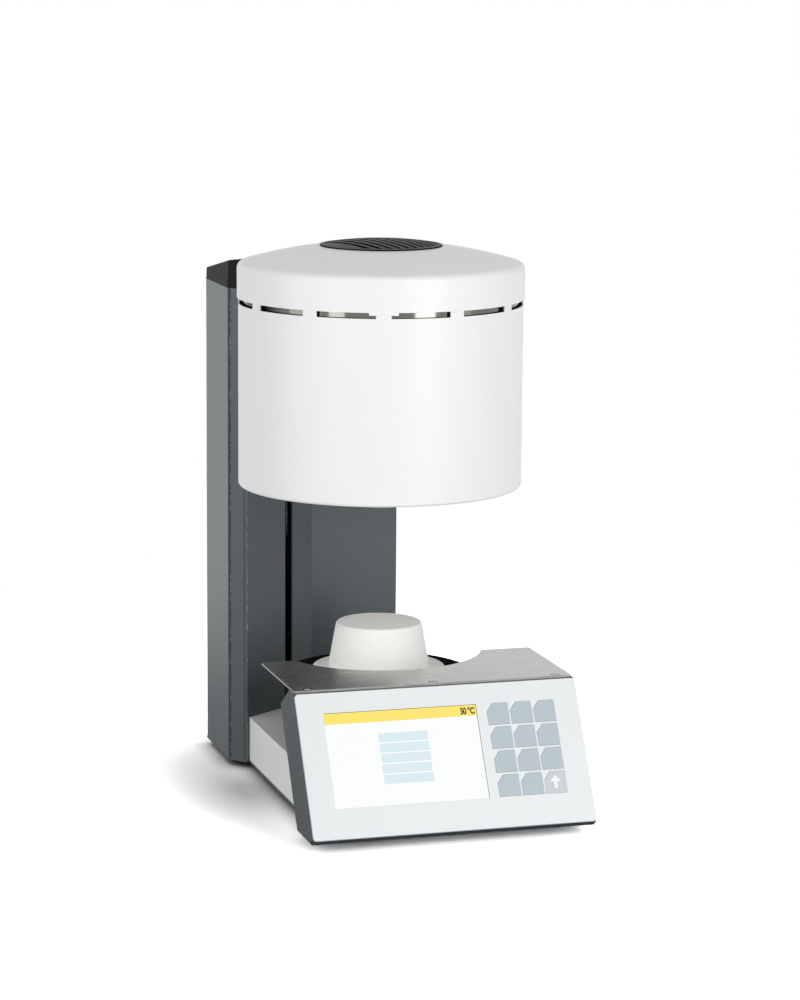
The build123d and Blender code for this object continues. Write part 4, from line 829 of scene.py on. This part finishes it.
# %% [markdown]
# ## The studio
# The picture was taken in a white studio, where the floor and the background run into one white
# and little light comes from above, so the lid's top is darker than the hood. The world gives a
# plain white to the camera and to reflections, and a weaker grey to everything that it lights.

# %% World
WORLD_LIGHT = 0.38
WHITE = (1.0, 1.0, 1.0, 1.0)


def backdrop_rays(tree):
    """1 for the rays that should see the white backdrop: camera, glossy and transmission rays."""
    path = put(tree, "ShaderNodeLightPath")
    mirrored = math_node(tree, "MAXIMUM", (path, "Is Glossy Ray"), (path, "Is Transmission Ray"))
    return math_node(tree, "MAXIMUM", (path, "Is Camera Ray"), (mirrored, 0))


world = bpy.data.worlds.new("Studio")
bpy.context.scene.world = world
world.use_nodes = True
sky = world.node_tree
sky.nodes.clear()
level = put(sky, "ShaderNodeMix", {0: (backdrop_rays(sky), 0), 2: WORLD_LIGHT, 3: 1.0},
            data_type="FLOAT")
backdrop = put(sky, "ShaderNodeBackground", {"Color": WHITE, "Strength": (level, 0)})
put(sky, "ShaderNodeOutputWorld", {"Surface": (backdrop, 0)})

# %% [markdown]
# ### The floor
# The floor is matt white, and far out it fades into the backdrop's white. The camera sees it
# brighter than it lights the furnace, so that only the shadows next to the furnace stay grey. That
# gain is lowest beside the column, so a soft painted shadow lies in the floor's colour there. A
# contact shadow from ambient occlusion darkens the floor right beside the base, but not in front,
# under the panel.

# %% Measures of the floor
FLOOR_HALF, FLOOR_CELLS = 6.0, 4
FLOOR_LIT = 0.88
# Painted shadow: the camera's gain is FLOOR_NEAR round SHADE_PLACE and FLOOR_OPEN further out.
FLOOR_NEAR, FLOOR_OPEN = 0.84, 3.4
SHADE_PLACE, SHADE_STRETCH = (-0.136, 0.025, 0.0), (2.1, 0.9, 1.0)
SHADE_INNER, SHADE_OUTER = 0.02, 0.27
CONTACT_REACH, CONTACT_START, CONTACT_END = 0.022, -0.20, -0.12
FADE_START, FADE_END = 0.45, 1.1

# %% The floor's brightness to the camera: a painted shadow beside the column, open further out
floor_white = bpy.data.materials.new("Floor_White")
floor_white.use_nodes = True
ground = floor_white.node_tree
ground.nodes.clear()
spot = put(ground, "ShaderNodeNewGeometry")
beside = put(ground, "ShaderNodeVectorMath", {0: (spot, "Position"), 1: SHADE_PLACE},
             operation="SUBTRACT")
stretched = put(ground, "ShaderNodeVectorMath", {0: (beside, "Vector"), 1: SHADE_STRETCH},
                operation="MULTIPLY")
from_shade = put(ground, "ShaderNodeVectorMath", {0: (stretched, "Vector")}, operation="LENGTH")
gain_with_painted_shadow = remap(ground, (from_shade, "Value"), SHADE_INNER, SHADE_OUTER, FLOOR_NEAR, FLOOR_OPEN)

# %% The contact shadow, and what the other rays meet
contact = put(ground, "ShaderNodeAmbientOcclusion", {"Distance": CONTACT_REACH}, samples=8)
spot_parts = put(ground, "ShaderNodeSeparateXYZ", {0: (spot, "Position")})
behind = remap(ground, (spot_parts, "Y"), CONTACT_START, CONTACT_END)
touch = put(ground, "ShaderNodeMix", {0: (behind, 0), 2: 1.0, 3: (contact, "AO")},
            data_type="FLOAT")
seen = math_node(ground, "MULTIPLY", (gain_with_painted_shadow, 0), (touch, 0))
ray = put(ground, "ShaderNodeLightPath")
shade = put(ground, "ShaderNodeMix", {0: (ray, "Is Camera Ray"), 2: FLOOR_LIT, 3: (seen, 0)},
            data_type="FLOAT")
shade_color = put(ground, "ShaderNodeCombineColor", {0: (shade, 0), 1: (shade, 0), 2: (shade, 0)})
matt = put(ground, "ShaderNodeBsdfDiffuse", {"Color": (shade_color, 0)})

# %% Fade into the backdrop and lay the floor
away = put(ground, "ShaderNodeVectorMath", {0: (spot, "Position")}, operation="LENGTH")
fade = remap(ground, (away, "Value"), FADE_START, FADE_END)
far = math_node(ground, "MULTIPLY", (fade, 0), (backdrop_rays(ground), 0))
white = put(ground, "ShaderNodeEmission", {"Color": WHITE, "Strength": 1.0})
blend = put(ground, "ShaderNodeMixShader", {0: (far, 0), 1: (matt, 0), 2: (white, 0)})
put(ground, "ShaderNodeOutputMaterial", {"Surface": (blend, 0)})
floor_shape = bmesh.new()
bmesh.ops.create_grid(
    floor_shape, x_segments=FLOOR_CELLS, y_segments=FLOOR_CELLS, size=FLOOR_HALF
)
floor = add_piece("floor", floor_shape, floor_white)

# %% [markdown]
# ### The lamps
# Two tall soft lamps stand in front, one on each side, and both show as bright bands on the
# polished sheet behind the vents. A wide one lights the column's left wall, and a weak one the
# hood's right edge. A narrow spot reaches through the gap under the head and lights the plinth.


# %% Lamps
def add_lamp(name, kind, place, aim, power):
    """A lamp of a kind at place that looks at aim; returns its light for further settings."""
    light = bpy.data.lights.new(name, kind)
    light.energy = power
    lamp = bpy.data.objects.new(name, light)
    bpy.context.scene.collection.objects.link(lamp)
    lamp.location = place
    lamp.rotation_mode = "QUATERNION"
    lamp.rotation_quaternion = (Vector(aim) - Vector(place)).to_track_quat("-Z", "Y")
    return light


SOFT_AIM = (0.0, 0.0, 0.30)
SOFT_LAMPS = {  # place, width, height and power
    "lamp_front_left": ((-2.10, -1.64, 0.95), 0.65, 1.9, 12.8),
    "lamp_front_right": ((0.91, -2.50, 0.95), 0.85, 1.9, 29.6),
    "lamp_left": ((-2.5, -0.4, 0.9), 1.4, 1.8, 10.8),
    "lamp_right": ((2.04, -1.71, 0.9), 1.2, 1.6, 4.5),
}
for name, (place, width, height, power) in SOFT_LAMPS.items():
    soft_light = add_lamp(name, "AREA", place, SOFT_AIM, power)
    soft_light.shape = "RECTANGLE"
    soft_light.size, soft_light.size_y = width, height

# %% A narrow spot through the gap under the head
TABLE_AIM, TABLE_PLACE = (head_axis.x, head_axis.y, 0.132), (-0.36, -2.04, 1.33)
TABLE_POWER, TABLE_CONE = 28.0, math.radians(3.7)
table_light = add_lamp("lamp_table", "SPOT", TABLE_PLACE, TABLE_AIM, TABLE_POWER)
table_light.spot_size = TABLE_CONE
table_light.spot_blend = 1.0
table_light.shadow_soft_size = 0.05

# %% [markdown]
# ## The camera
# The photograph was taken from the left of the front with a long lens. Its place was solved from
# the round hood, the plate's cut-out and the panel, so it is given as two angles, a distance and
# a point to look at. A sensor 36 mm long on the picture's long side turns the focal length in
# pixels into millimetres.

# %% Camera
VIEW_TURN, VIEW_LIFT, VIEW_ROLL = math.radians(16.58), math.radians(9.90), math.radians(0.41)
VIEW_DISTANCE = 3.25569
VIEW_TARGET = head_axis + Vector((0.02127, 0.0, 0.29294))
FOCAL_PIXELS, PICTURE_PIXELS, SENSOR = 3244.28, 1000.0, 36.0

ahead = Vector((
    math.sin(VIEW_TURN) * math.cos(VIEW_LIFT),
    math.cos(VIEW_TURN) * math.cos(VIEW_LIFT),
    -math.sin(VIEW_LIFT),
))
level_right = Vector((math.cos(VIEW_TURN), -math.sin(VIEW_TURN), 0.0))
level_up = level_right.cross(ahead)
right = level_right * math.cos(VIEW_ROLL) + level_up * math.sin(VIEW_ROLL)
upward = level_up * math.cos(VIEW_ROLL) - level_right * math.sin(VIEW_ROLL)

lens = bpy.data.cameras.new("camera")
lens.sensor_width = SENSOR
lens.lens = FOCAL_PIXELS * SENSOR / PICTURE_PIXELS
lens.clip_start, lens.clip_end = 0.05, 40.0
camera = bpy.data.objects.new("camera", lens)
bpy.context.scene.collection.objects.link(camera)
camera.matrix_world = (
    Matrix.Translation(VIEW_TARGET - ahead * VIEW_DISTANCE)
    @ Matrix((right, upward, -ahead)).transposed().to_4x4()
)
bpy.context.scene.camera = camera
bpy.context.scene.view_settings.view_transform = "Standard"
print("camera at", rounded(camera.location, 3), "lens", round(lens.lens, 2), "mm")
